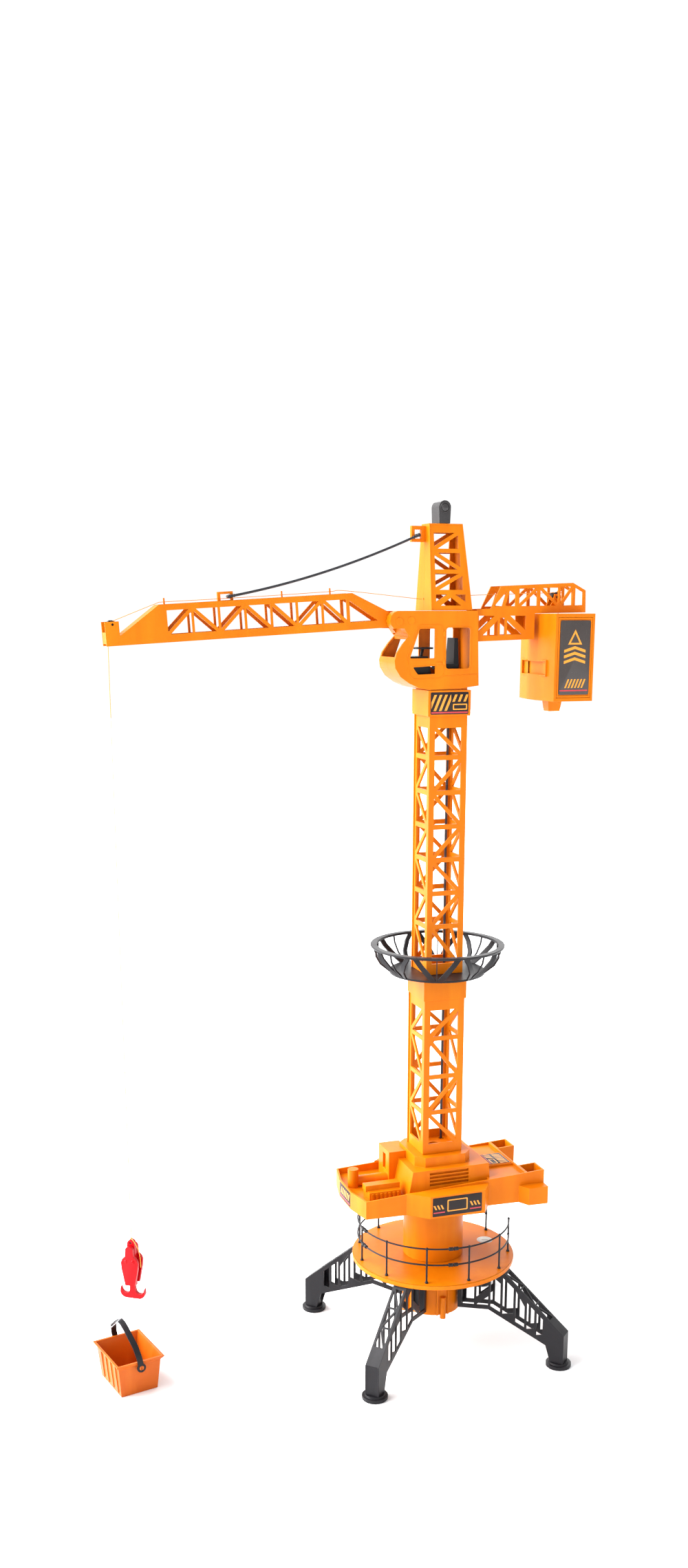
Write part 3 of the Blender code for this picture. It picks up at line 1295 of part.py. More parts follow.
def build_lines():
    x, z, core = DRUM
    tail_x, tail_z, tail_r = TAIL_ROLLER
    side = tail_x + tail_r + LINE + GAP
    wrap = tail_r + LINE + GAP
    over_tail = [(tail_x + wrap * math.cos(t), 0, tail_z + wrap * math.sin(t)) for t in (0.0, 0.55, 1.1, 1.6)]
    head = [(0.0335, 0, 1.1524), (0.0, 0, 1.1496), (-0.0300, 0, 1.1473)]
    drum_end = (x + core + LINE + GAP, 0, z + 0.002)
    add("hoist_line_tail", YELLOW, [tube([drum_end, (side, 0, tail_z - 0.012), *over_tail, *head], LINE, 1)])
    tip_x, tip_z, tip_r = TIP_ROLLER
    wrap = tip_r + LINE + GAP
    on_jib = [
        (0.0640, 0.0448), (0.0896, 0.0452), (0.1586, 0.0446), (0.2388, 0.0444), (0.3220, 0.0446),
        (0.3330, 0.0430)
    ]
    points = [Vector((-0.0312, 0, 1.1472))]
    points += [jib_point(a, 0.0, b) for a, b in on_jib]
    centre = jib_point(tip_x, 0, tip_z)
    for t in (1.15, 1.75, 2.4, 3.05):
        points.append(centre + Vector((wrap * math.cos(t), 0, wrap * math.sin(t))))
    add("hoist_line_jib", YELLOW, [tube(points, LINE, 1)])
    drop_x = centre.x - wrap
    top, low = centre.z - 0.0015, HOOK_TOP + 0.0016
    drop = rod((drop_x, 0, low), (drop_x, 0, top), LINE, 8)
    add("hoist_line_drop", YELLOW, [drop])
    return drop_x


def build_hook(drop_x):
    """The hook block: two cheeks with round bosses on a spine, and a double hook below."""
    place = empty("hook_place", Matrix.Translation((drop_x, 0, 0)) @ Matrix.Rotation(HOOK_TURN, 4, "Z"))
    cheek = [
        (-0.0075, 0.1670),
        (0.0075, 0.1670),
        (0.0125, 0.1930),
        *arc((0.0, 0.2010), 0.0135, -20, 60, 3),
        (0.0060, 0.2200),
        *arc((0.0, 0.2230), 0.0060, 20, 160, 4),
        (-0.0060, 0.2200),
        *arc((0.0, 0.2010), 0.0135, 120, 200, 3),
        (-0.0125, 0.1930),
    ]
    bodies = [plate(cheek, 0.0050, in_xz(y)) for y in (-0.0085, 0.0085)]
    spine = [
        (-0.0055, 0.1640), (0.0055, 0.1640), (0.0060, 0.2250), *arc((0, 0.2310), 0.0055, 0, 180, 6),
        (-0.0060, 0.2250)
    ]
    eye = disc_outline(0.0019, 10, (0, 0.2318))
    bodies.append(plate(spine, 0.0075, in_xz(), [eye]))
    for z in (0.2040, 0.1820):
        bodies.append(rod((0, -0.0070, z), (0, 0.0070, z), 0.0048, 12))
    for x in (-0.0055, 0.0055):
        for y in (-1, 1):
            bodies.append(rod((x, y * 0.0105, 0.2055), (x, y * 0.0124, 0.2055), 0.0032, 10, 0.0018))
    hook = [
        (-0.0038, 0.1660),
        (-0.0042, 0.1570),
        *arc((-0.0110, 0.1572), 0.0068, 0, -150, 5),
        (-0.0188, 0.1600),
        (-0.0196, 0.1520),
        *arc((-0.0100, 0.1530), 0.0096, 190, 262, 3),
        *arc((0.0100, 0.1530), 0.0096, 278, 350, 3),
        (0.0196, 0.1520),
        (0.0188, 0.1600),
        *arc((0.0110, 0.1572), 0.0068, 330, 180, 5),
        (0.0042, 0.1570),
        (0.0038, 0.1660),
    ]
    bodies.append(plate(hook, 0.0062, in_xz()))
    add("hook_block", RED, bodies, parent=place)
    # the knot above the hook's eye and the loose tail of the line
    tail = [
        (0.0005, -0.0010, HOOK_TOP - 0.0004),
        (0.0050, -0.0062, HOOK_TOP + 0.0008),
        (0.0110, -0.0100, HOOK_TOP - 0.0035),
        (0.0172, -0.0135, HOOK_TOP - 0.0125),
        (0.0198, -0.0150, HOOK_TOP - 0.0240),
        (0.0202, -0.0152, HOOK_TOP - 0.0365),
    ]
    knob = rod((0, 0, HOOK_TOP - 0.0006), (0, 0, HOOK_TOP + 0.0013), 0.0016, 8)
    add("line_knot", YELLOW, [knob, tube(tail, LINE, 1)], parent=place)


def build_bucket():
    place = empty(
        "bucket_place",
        Matrix.Translation((BUCKET_X, BUCKET_Y, 0)) @ Matrix.Rotation(BUCKET_TURN, 4, "Z")
    )
    foot = (0.0289, 0.0384)
    body_top = (0.0335, 0.0430)
    rim = (0.0378, 0.0478)
    height = BUCKET_HEIGHT
    wall = 0.0017
    outer = tapered(
        (-foot[0], -foot[1], 0), (foot[0], foot[1], height - 0.006), (-body_top[0], -body_top[1]),
        body_top
    )
    flare = tapered(
        (-body_top[0] + 0.0002, -body_top[1] + 0.0002, height - 0.0075),
        (body_top[0] - 0.0002, body_top[1] - 0.0002, height - 0.0012),
        (-rim[0], -rim[1]),
        rim,
    )
    lip = tapered((-rim[0], -rim[1], height - 0.0014), (rim[0], rim[1], height), (-rim[0], -rim[1]), rim)
    bodies = [outer, flare, lip]
    for side in (-1, 1):
        for k in range(4):
            y = -0.0270 + 0.0180 * k
            low = sorted((side * (foot[0] - 0.001), side * (foot[0] + 0.0016)))
            top = sorted((side * (body_top[0] - 0.001), side * (body_top[0] + 0.0016)))
            low_corner = (low[0], y - 0.0028, 0.004)
            high_corner = (low[1], y + 0.0028, height - 0.0050)
            bodies.append(tapered(low_corner, high_corner, (top[0], y - 0.0034), (top[1], y + 0.0034)))
        pin_y = side * (rim[1] + 0.0024)
        bodies.append(rod((0, side * (body_top[1] - 0.003), BAIL_PIN), (0, pin_y, BAIL_PIN), 0.0036, 12))
    inner_foot = (foot[0] - wall, foot[1] - wall)
    inner_top = (rim[0] - 0.0030, rim[1] - 0.0030)
    body_in = (body_top[0] - wall, body_top[1] - wall)
    hollow = tapered(
        (-inner_foot[0], -inner_foot[1], 0.0022), (*inner_foot, height - 0.006),
        (-body_in[0], -body_in[1]), body_in
    )
    mouth = tapered(
        (-body_in[0] + 0.0002, -body_in[1] + 0.0002, height - 0.0078),
        (body_in[0] - 0.0002, body_in[1] - 0.0002, height + 0.0010), (-inner_top[0], -inner_top[1]),
        inner_top
    )
    slots = []
    for side in (-1, 1):
        near, far = sorted((side * (rim[1] + 0.0006), side * 0.06))
        slots.append(box((-0.0007, near, BAIL_PIN - 0.005), (0.0007, far, BAIL_PIN + 0.005)))
    add("bucket", BUCKET_ORANGE, bodies, [hollow, mouth, *slots], parent=place)
    hinge = empty(
        "bail_hinge", Matrix.Translation((0, 0, BAIL_PIN)) @ Matrix.Rotation(-BAIL_LEAN, 4, "Y"), place
    )
    arm = rim[1] + 0.0013
    line = [
        (-arm, 0.0), (-arm, 0.0165), (-0.0420, 0.0330), (-0.0160, 0.0520), (-0.0060, 0.0570),
        (0.0060, 0.0570), (0.0160, 0.0520), (0.0420, 0.0330), (arm, 0.0165), (arm, 0.0)
    ]
    strap = ribbon([(0, y, z) for y, z in line], [(1, 0, 0)] * len(line), 0.0085, 0.0020)
    eyes = [rod((0, s * (arm - 0.0010), 0), (0, s * (arm + 0.0010), 0), 0.0070, 16) for s in (-1, 1)]
    bores = [rod((0, s * (arm - 0.004), 0), (0, s * (arm + 0.004), 0), 0.0036 + GAP, 12) for s in (-1, 1)]
    add("bucket_bail", BLACK, [strap, *eyes], bores, parent=hinge)
    wire = [
        (-0.0280, -0.0250, 0.0720),
        (-0.0290, -0.0200, 0.0640),
        (-0.0200, -0.0100, 0.0600),
        (-0.0075, -0.0040, 0.0610),
        (0.0000, 0.0005, 0.0612),
        (0.0075, 0.0030, 0.0600),
        (0.0200, 0.0080, 0.0580),
        (0.0320, 0.0120, 0.0620),
        (0.0400, 0.0130, 0.0720),
        (0.0380, 0.0100, 0.0800),
        (0.0280, 0.0060, 0.0810),
        (0.0160, 0.0030, 0.0760),
        (0.0090, 0.0010, 0.0690),
    ]
    add("twist_tie", STEEL, [tube(wire, 0.0004, 1)], parent=hinge)


def build():
    build_base()
    build_chassis()
    build_mast()
    build_cab()
    build_head()
    for name, side in (("counter_jib_left", -1), ("counter_jib_right", 1)):
        build_truss(name, side)
    build_winch_box()
    build_winch()
    build_jib()
    build_strap()
    drop_x = build_lines()
    build_hook(drop_x)
    build_bucket()


build()
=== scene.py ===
import json
import math

import bmesh
import bpy
from mathutils import Matrix, Vector

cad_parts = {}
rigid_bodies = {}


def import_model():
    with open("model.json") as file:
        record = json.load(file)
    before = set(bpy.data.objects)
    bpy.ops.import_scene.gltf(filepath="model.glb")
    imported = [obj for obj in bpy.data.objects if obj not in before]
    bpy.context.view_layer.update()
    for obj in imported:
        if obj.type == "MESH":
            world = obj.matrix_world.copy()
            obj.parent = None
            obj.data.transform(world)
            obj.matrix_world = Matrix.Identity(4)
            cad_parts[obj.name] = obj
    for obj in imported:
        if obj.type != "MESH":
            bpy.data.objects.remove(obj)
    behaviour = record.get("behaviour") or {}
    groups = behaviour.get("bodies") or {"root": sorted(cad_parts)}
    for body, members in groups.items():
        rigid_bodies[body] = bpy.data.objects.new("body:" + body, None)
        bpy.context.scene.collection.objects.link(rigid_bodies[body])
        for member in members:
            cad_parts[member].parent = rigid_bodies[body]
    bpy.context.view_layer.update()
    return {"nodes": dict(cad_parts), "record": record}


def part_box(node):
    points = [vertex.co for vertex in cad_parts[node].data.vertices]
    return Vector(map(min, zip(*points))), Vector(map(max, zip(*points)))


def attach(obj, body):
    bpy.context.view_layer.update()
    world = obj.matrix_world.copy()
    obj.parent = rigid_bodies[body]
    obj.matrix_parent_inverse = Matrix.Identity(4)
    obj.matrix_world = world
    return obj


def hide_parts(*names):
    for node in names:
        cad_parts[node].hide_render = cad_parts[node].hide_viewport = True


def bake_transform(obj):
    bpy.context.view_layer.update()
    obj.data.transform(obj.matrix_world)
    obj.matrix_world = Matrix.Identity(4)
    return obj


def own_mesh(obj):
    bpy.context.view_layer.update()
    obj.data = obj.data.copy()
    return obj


for startup_object in list(bpy.data.objects):
    bpy.data.objects.remove(startup_object)
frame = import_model()

# ---------------------------------------------------------------- places the looks take from the CAD
DISC_LOW, DISC_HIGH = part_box("base_disc")
MAST_X = (DISC_LOW.x + DISC_HIGH.x) / 2
DISC_TOP = DISC_HIGH.z
ON_MAST = Matrix.Translation((MAST_X, 0, 0))
GAP = 0.0003  # between a looks piece and the CAD face it stands on
PIVOT = (-0.0773, 1.1172)  # the jib's hinge: x from the mast, and z
JIB_DROOP = math.radians(3.33)
DROP_LOW, DROP_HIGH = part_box("hoist_line_drop")
DROP_X = (DROP_LOW.x + DROP_HIGH.x) / 2 - MAST_X
HOOK_PLACE = ON_MAST @ Matrix.Translation((DROP_X, 0, 0)) @ Matrix.Rotation(math.radians(-34), 4, "Z")
HOOK_TOP = 0.2375
LINE_RADIUS, LINE_PITCH, LINE_SPACING = 0.0005, 0.0042, 0.0009
STAY_RADIUS, STAY_SAG = 0.0017, 0.0085


# ---------------------------------------------------------------- camera, light and floor
LENS_MM, SENSOR_MM, LENS_SHIFT = 33.184, 36.0, 0.12176
CAMERA_AHEAD, CAMERA_LEFT, CAMERA_HEIGHT = 0.8055, 1.9616, 1.131
CAMERA_ANGLES = (-21.058, -2.527, 14.127, -0.03)  # round the crane, then yaw, pitch down and roll
SKY_STRENGTH = 1.06
FLOOR_HALF = 14.0


def add_camera():
    """The photograph's view: from ahead and to the left, at the jib's height, looking down a little."""
    data = bpy.data.cameras.new("camera")
    data.sensor_fit = "VERTICAL"
    data.sensor_height = SENSOR_MM
    data.lens = LENS_MM
    data.shift_y = LENS_SHIFT
    camera = bpy.data.objects.new("camera", data)
    bpy.context.scene.collection.objects.link(camera)
    turn, yaw, pitch, roll = (math.radians(v) for v in CAMERA_ANGLES)
    back = Vector((math.sin(turn), -math.cos(turn), 0))
    right = Vector((math.cos(turn), math.sin(turn), 0))
    level = -back * math.cos(yaw) + right * math.sin(yaw)
    side = right * math.cos(yaw) + back * math.sin(yaw)
    forward = level * math.cos(pitch) - Vector((0, 0, math.sin(pitch)))
    up = Vector((0, 0, math.cos(pitch))) + level * math.sin(pitch)
    across = side * math.cos(roll) + up * math.sin(roll)
    up = up * math.cos(roll) - side * math.sin(roll)
    rotation = Matrix((across, up, -forward)).transposed()
    place = Matrix.Translation((MAST_X - CAMERA_AHEAD, -CAMERA_LEFT, CAMERA_HEIGHT))
    camera.matrix_world = place @ rotation.to_4x4()
    bpy.context.scene.camera = camera


def add_sun(name, towards, strength, spread):
    data = bpy.data.lights.new(name, "SUN")
    data.energy = strength
    data.angle = math.radians(spread)
    light = bpy.data.objects.new(name, data)
    light.rotation_euler = Vector(towards).to_track_quat("Z", "Y").to_euler()
    bpy.context.scene.collection.objects.link(light)


def add_studio():
    scene = bpy.context.scene
    scene.view_settings.view_transform = "Standard"
    world = bpy.data.worlds.new("studio")
    scene.world = world
    world.use_nodes = True
    background = world.node_tree.nodes["Background"]
    background.inputs["Color"].default_value = (1.0, 1.0, 1.0, 1)
    background.inputs["Strength"].default_value = SKY_STRENGTH
    add_sun("key", (-0.82, 0.30, 0.52), 11.5, 75)
    add_sun("rim", (0.55, 0.75, 0.35), 0.9, 50)
    mesh = bpy.data.meshes.new("floor")
    corners = [(x * FLOOR_HALF, y * FLOOR_HALF, 0) for x, y in ((-1, -1), (1, -1), (1, 1), (-1, 1))]
    mesh.from_pydata(corners, [], [(0, 1, 2, 3)])
    floor = bpy.data.objects.new("floor", mesh)
    scene.collection.objects.link(floor)
    paint = bpy.data.materials.new("floor_paint")
    paint.use_nodes = True
    shader = paint.node_tree.nodes["Principled BSDF"]
    shader.inputs["Base Color"].default_value = (0.86, 0.865, 0.875, 1)
    shader.inputs["Roughness"].default_value = 0.7
    mesh.materials.append(paint)


# ---------------------------------------------------------------- materials
class Nodes:
    """A material's node tree, with short ways to add what every finish here uses."""

    def __init__(self, name):
        self.material = bpy.data.materials.new(name)
        self.material.use_nodes = True
        self.tree = self.material.node_tree
        self.shader = self.tree.nodes["Principled BSDF"]
        self.coords = self.tree.nodes.new("ShaderNodeTexCoord").outputs["Object"]

    def link(self, start, end):
        self.tree.links.new(start, end)

    def stretched(self, by, turn=(0, 0, 0)):
        mapping = self.tree.nodes.new("ShaderNodeMapping")
        mapping.inputs["Scale"].default_value = by
        mapping.inputs["Rotation"].default_value = turn
        self.link(self.coords, mapping.inputs["Vector"])
        return mapping.outputs["Vector"]

    def noise(self, scale, detail=3.0, by=None, turn=(0, 0, 0), rough=0.55):
        made = self.tree.nodes.new("ShaderNodeTexNoise")
        made.inputs["Scale"].default_value = scale
        made.inputs["Detail"].default_value = detail
        made.inputs["Roughness"].default_value = rough
        self.link(self.stretched(by, turn) if by else self.coords, made.inputs["Vector"])
        return made.outputs["Fac"]

    def spread(self, value, low, high, to_low=0.0, to_high=1.0):
        made = self.tree.nodes.new("ShaderNodeMapRange")
        for name, number in zip(("From Min", "From Max", "To Min", "To Max"), (low, high, to_low, to_high)):
            made.inputs[name].default_value = number
        self.link(value, made.inputs["Value"])
        return made.outputs["Result"]

    def maths(self, kind, first, second):
        made = self.tree.nodes.new("ShaderNodeMath")
        made.operation = kind
        for socket, value in zip(made.inputs, (first, second)):
            if isinstance(value, (int, float)):
                socket.default_value = value
            else:
                self.link(value, socket)
        return made.outputs["Value"]

    def mixed(self, share, first, second):
        """Colours are given as numbers or as another node's output."""
        made = self.tree.nodes.new("ShaderNodeMix")
        made.data_type = "RGBA"
        self.link(share, made.inputs["Factor"])
        for socket, value in zip((made.inputs[6], made.inputs[7]), (first, second)):
            if isinstance(value, tuple):
                socket.default_value = (*value, 1)
            else:
                self.link(value, socket)
        return made.outputs[2]

    def bump(self, height, strength, distance, under=None):
        made = self.tree.nodes.new("ShaderNodeBump")
        made.inputs["Strength"].default_value = strength
        made.inputs["Distance"].default_value = distance
        self.link(height, made.inputs["Height"])
        if under is not None:
            self.link(under, made.inputs["Normal"])
        return made.outputs["Normal"]

    def rounded_normal(self, radius):
        made = self.tree.nodes.new("ShaderNodeBevel")
        made.samples = 6
        made.inputs["Radius"].default_value = radius
        return made.outputs["Normal"]

    def edges(self, rounded_normal):
        """Where the surface turns an edge: how far the rounded normal leans from the plain one."""
        plain = self.tree.nodes.new("ShaderNodeNewGeometry")
        dot = self.tree.nodes.new("ShaderNodeVectorMath")
        dot.operation = "DOT_PRODUCT"
        self.link(rounded_normal, dot.inputs[0])
        self.link(plain.outputs["Normal"], dot.inputs[1])
        return self.spread(dot.outputs["Value"], 0.995, 0.80)


SOFT_EDGE = 0.0007


def plastic(name, colour, deep, pale, rough, grain=0.05, scuffs=0.35, coat=0.0, edge_wear_and_highlight=0.0,
            shine=0.5):
    """Moulded plastic: cloudy tone, flow streaks, a fine grain, scuffs and hairline scratches; where asked,
    edges painted paler, partly as wear and partly as a painted highlight.
    """
    n = Nodes(name)
    cloud = n.noise(16, 4)
    streak = n.noise(26, 4, by=(1.0, 1.0, 0.12))
    fine = n.noise(1500, 2)
    ripple = n.noise(120, 2)
    scuff = n.spread(n.noise(210, 6, by=(1, 1, 2.5), rough=0.7), 0.60, 0.74)
    hair = n.spread(n.noise(60, 3, by=(22, 1.0, 1.6), turn=(0.5, 0.3, 0.7)), 0.66, 0.70)
    tone = n.mixed(n.spread(cloud, 0.34, 0.66), deep, colour)
    tone = n.mixed(n.spread(streak, 0.50, 0.80, 0.0, 0.45), tone, pale)
    tone = n.mixed(n.maths("MULTIPLY", scuff, 0.30 * scuffs), tone, pale)
    soft_edges = None
    if edge_wear_and_highlight:
        soft_edges = n.rounded_normal(SOFT_EDGE)
        # Paler along every edge: partly wear, partly a painted highlight where the edges catch the light.
        tone = n.mixed(n.maths("MULTIPLY", n.edges(soft_edges), edge_wear_and_highlight), tone, pale)
    n.link(tone, n.shader.inputs["Base Color"])
    scuff_marks = n.maths("MULTIPLY", scuff, 0.16 * scuffs)
    marks = n.maths("ADD", scuff_marks, n.maths("MULTIPLY", hair, 0.10 * scuffs))
    clouded = n.spread(cloud, 0.3, 0.7, rough - 0.045, rough + 0.055)
    n.link(n.maths("ADD", clouded, marks), n.shader.inputs["Roughness"])
    waves = n.bump(ripple, 0.10, 0.0006, soft_edges)
    grained = n.bump(fine, grain, 0.00025, waves)
    n.link(n.bump(hair, 0.08, 0.0001, grained), n.shader.inputs["Normal"])
    n.shader.inputs["Specular IOR Level"].default_value = shine
    if coat:
        n.shader.inputs["Coat Weight"].default_value = coat
        n.shader.inputs["Coat Roughness"].default_value = 0.18
    return n.material


def metal(name, colour, rough, stretch):
    n = Nodes(name)
    drawn = n.noise(90, 5, by=stretch, rough=0.65)
    cloud = n.noise(35, 3)
    dark = tuple(0.62 * c for c in colour)
    n.link(n.mixed(n.spread(cloud, 0.35, 0.7), dark, colour), n.shader.inputs["Base Color"])
    n.link(n.spread(drawn, 0.3, 0.7, rough - 0.10, rough + 0.14), n.shader.inputs["Roughness"])
    n.link(n.bump(drawn, 0.12, 0.0001), n.shader.inputs["Normal"])
    n.shader.inputs["Metallic"].default_value = 1.0
    return n.material


def thread(name, colour, deep, pale):
    """Plied line: dyed fibres that lie slightly apart, with a soft sheen."""
    n = Nodes(name)
    fibres = n.noise(2600, 3, by=(1, 1, 0.35))
    patches = n.noise(70, 3)
    tone = n.mixed(n.spread(patches, 0.35, 0.65), deep, colour)
    n.link(n.mixed(n.spread(fibres, 0.52, 0.75), tone, pale), n.shader.inputs["Base Color"])
    n.link(n.spread(fibres, 0.3, 0.7, 0.62, 0.88), n.shader.inputs["Roughness"])
    n.link(n.bump(fibres, 0.5, 0.00015), n.shader.inputs["Normal"])
    n.shader.inputs["Sheen Weight"].default_value = 0.25
    return n.material


def board(name):
    """A printed circuit board: green lacquer over faint tracks, with pale solder points."""
    n = Nodes(name)
    cells = n.tree.nodes.new("ShaderNodeTexVoronoi")
    cells.inputs["Scale"].default_value = 420
    n.link(n.coords, cells.inputs["Vector"])
    points = n.spread(cells.outputs["Distance"], 0.16, 0.12)
    tracks = n.spread(n.noise(160, 1, by=(1, 0.15, 1)), 0.52, 0.55)
    green = n.mixed(tracks, (0.010, 0.115, 0.045), (0.020, 0.19, 0.075))
    n.link(n.mixed(points, green, (0.62, 0.62, 0.60)), n.shader.inputs["Base Color"])
    n.link(n.spread(points, 0, 1, 0.32, 0.42), n.shader.inputs["Roughness"])
    n.link(n.bump(tracks, 0.25, 0.00008), n.shader.inputs["Normal"])
    return n.material


# The plastics given an edge strength get their edges painted paler: partly wear, partly a painted highlight.
ORANGE = plastic("orange_moulding", (0.60, 0.150, 0.0010), (0.56, 0.130, 0.0008), (0.74, 0.240, 0.004), 0.36,
                 edge_wear_and_highlight=0.55, shine=0.12)
BUCKET = plastic("bucket_moulding", (0.54, 0.105, 0.004), (0.49, 0.086, 0.003), (0.70, 0.20, 0.02), 0.36,
                 scuffs=0.7, edge_wear_and_highlight=0.5, shine=0.22)
BLACK = plastic("black_moulding", (0.010, 0.009, 0.011), (0.007, 0.0065, 0.008), (0.040, 0.038, 0.042), 0.38,
                grain=0.10, scuffs=0.6, edge_wear_and_highlight=0.35, shine=0.20)
LAMP_GREY = plastic("lamp_moulding", (0.024, 0.021, 0.022), (0.018, 0.016, 0.017), (0.075, 0.068, 0.070),
                    0.30, grain=0.04, coat=0.15, shine=0.4)
RED = plastic("red_moulding", (0.50, 0.003, 0.007), (0.44, 0.002, 0.005), (0.62, 0.022, 0.026), 0.30,
              scuffs=0.4, coat=0.04, edge_wear_and_highlight=0.3, shine=0.12)
WHITE = plastic("white_moulding", (0.80, 0.79, 0.75), (0.72, 0.70, 0.65), (0.90, 0.90, 0.88), 0.42)
STRAP = plastic("strap_rubber", (0.014, 0.015, 0.019), (0.009, 0.009, 0.012), (0.05, 0.05, 0.06), 0.34,
                grain=0.12, shine=0.36)
STEEL = metal("plain_steel", (0.58, 0.58, 0.60), 0.32, (1, 1, 18))
WIRE = metal("silver_wire", (0.80, 0.81, 0.84), 0.24, (1, 1, 1))
YARN = thread("yellow_yarn", (0.70, 0.30, 0.012), (0.60, 0.22, 0.008), (0.85, 0.46, 0.08))
BOARD = board("green_board")
LABEL_BLACK = plastic("label_black", (0.018, 0.010, 0.010), (0.012, 0.007, 0.007), (0.05, 0.035, 0.035), 0.42,
                      grain=0.03, scuffs=0.8, shine=0.22)
LABEL_GREY = plastic("label_grey", (0.050, 0.040, 0.037), (0.040, 0.032, 0.030), (0.095, 0.08, 0.075), 0.24,
                     grain=0.03, scuffs=0.6, coat=0.1, shine=0.3)
LABEL_YELLOW = plastic("label_yellow", (0.68, 0.27, 0.012), (0.62, 0.23, 0.009), (0.78, 0.38, 0.06), 0.34,
                       grain=0.03)
LABEL_RED = plastic("label_red", (0.52, 0.020, 0.035), (0.44, 0.015, 0.028), (0.68, 0.08, 0.09), 0.34,
                    grain=0.03)
PAPER = plastic("sticker_paper", (0.60, 0.58, 0.54), (0.54, 0.52, 0.48), (0.68, 0.67, 0.65), 0.55, grain=0.10)
INK = plastic("sticker_ink", (0.33, 0.30, 0.29), (0.25, 0.23, 0.22), (0.5, 0.47, 0.45), 0.6)

FINISH = {
    "orange_plastic": ORANGE, "black_plastic": BLACK, "red_plastic": RED, "bucket_plastic": BUCKET,
    "steel": STEEL, "yellow_line": YARN, "white_plastic": WHITE, "circuit_board": BOARD, "black_strap": STRAP,
}


# ---------------------------------------------------------------- mesh building
def offset(outline, distance):
    """A closed outline grown by a distance, given counter-clockwise, with mitred corners."""
    grown = []
    count = len(outline)
    for k in range(count):
        before, here, after = (Vector(outline[(k + d) % count]) for d in (-1, 0, 1))
        into, out = (here - before).normalized(), (after - here).normalized()
        first, second = Vector((into.y, -into.x)), Vector((out.y, -out.x))
        share = max(0.35, 1 + first.dot(second))
        grown.append(tuple(here + (first + second) * (distance / share)))
    return grown


def rounded(left, low, right, high, radius, steps=4):
    corners = ((right - radius, low + radius, -90), (right - radius, high - radius, 0),
               (left + radius, high - radius, 90), (left + radius, low + radius, 180))
    points = []
    for x, y, start in corners:
        for k in range(steps + 1):
            turn = math.radians(start + 90 * k / steps)
            points.append((x + radius * math.cos(turn), y + radius * math.sin(turn)))
    return points


def softened(outline, radius, steps=3):
    """The outline with each corner replaced by a short curve."""
    points = []
    count = len(outline)
    for k in range(count):
        before, here, after = (Vector(outline[(k + d) % count]) for d in (-1, 0, 1))
        reach_in = min(radius, (before - here).length * 0.45)
        reach_out = min(radius, (after - here).length * 0.45)
        start = here + (before - here).normalized() * reach_in
        end = here + (after - here).normalized() * reach_out
        for j in range(steps + 1):
            t = j / steps
            points.append(tuple(start * (1 - t) ** 2 + here * (2 * t * (1 - t)) + end * t ** 2))
    return points


def anticlockwise(outline):
    area = sum(a[0] * b[1] - b[0] * a[1] for a, b in zip(outline, outline[1:] + outline[:1]))
    return outline if area > 0 else outline[::-1]


def loop_of(bm, outline, height, place):
    return [bm.verts.new(place @ Vector((a, b, height))) for a, b in outline]


def bridge(bm, first, second, material=0):
    count = len(first)
    for k in range(count):
        j = (k + 1) % count
        bm.faces.new((first[k], first[j], second[j], second[k])).material_index = material


def add_plate(bm, outline, low, high, place, edge=0.0, material=0):
    """A flat plate between two heights with its upper edge rounded off."""
    outline = anticlockwise(outline)
    rings = [(0.0, low)]
    if edge:
        rings += [(0.0, high - edge), (-0.3 * edge, high - 0.3 * edge), (-edge, high)]
    else:
        rings.append((0.0, high))
    loops = [loop_of(bm, offset(outline, grow) if grow else outline, height, place) for grow, height in rings]
    for lower, upper in zip(loops, loops[1:]):
        bridge(bm, lower, upper, material)
    bm.faces.new(loops[0][::-1]).material_index = material
    bm.faces.new(loops[-1]).material_index = material


def add_rim(bm, outline, width, low, high, place, material=0):
    """A raised bead of rounded section that follows a closed outline on its outside."""
    outline = anticlockwise(outline)
    rise = high - low
    rising = [(0.0, 0.0), (0.02, 0.55), (0.16, 0.88), (0.38, 1.0)]
    section = rising + [(0.62, 1.0), (0.84, 0.88), (0.98, 0.55), (1.0, 0.0)]
    loops = [loop_of(bm, offset(outline, width * a), low + rise * b, place) for a, b in section]
    for first, second in zip(loops, loops[1:]):
        bridge(bm, first, second, material)
    bridge(bm, loops[-1], loops[0], material)


def frames_along(points):
    """A tangent and two normals at each point, turned as little as possible on the way."""
    count = len(points)
    tangents = [(points[min(k + 1, count - 1)] - points[max(k - 1, 0)]).normalized() for k in range(count)]
    start = Vector((0, 0, 1)) if abs(tangents[0].z) < 0.9 else Vector((1, 0, 0))
    normal = (start - tangents[0] * start.dot(tangents[0])).normalized()
    frames = []
    for tangent in tangents:
        normal = (normal - tangent * normal.dot(tangent)).normalized()
        frames.append((tangent, normal, tangent.cross(normal)))
    return frames


def add_tube(bm, points, section, material=0):
    """A tube along points. section gives the points round it for each place along the way."""
    points = [Vector(p) for p in points]
    rings = []
    for k, (point, (_, normal, across)) in enumerate(zip(points, frames_along(points))):
        rings.append([bm.verts.new(point + normal * a + across * b) for a, b in section(k)])
    for first, second in zip(rings, rings[1:]):
        bridge(bm, first, second, material)
    bm.faces.new(rings[0][::-1]).material_index = material
    bm.faces.new(rings[-1]).material_index = material


def circle(radius, sides):
    turns = [2 * math.pi * k / sides for k in range(sides)]
    return [(radius * math.cos(t), radius * math.sin(t)) for t in turns]


def add_rod(bm, start, end, radius, sides=16, end_radius=None, edge=0.0, material=0):
    """A round rod, tapered or with softened ends if asked."""
    start, end = Vector(start), Vector(end)
    length = (end - start).length
    end_radius = radius if end_radius is None else end_radius
    steps = [(0.0, radius), (1.0, end_radius)]
    if edge:
        steps = [(0.0, radius - edge), (edge / length, radius),
                 (1 - edge / length, end_radius), (1.0, end_radius - edge)]
    radii = [r for _, r in steps]
    add_tube(bm, [start.lerp(end, share) for share, _ in steps], lambda k: circle(radii[k], sides), material)


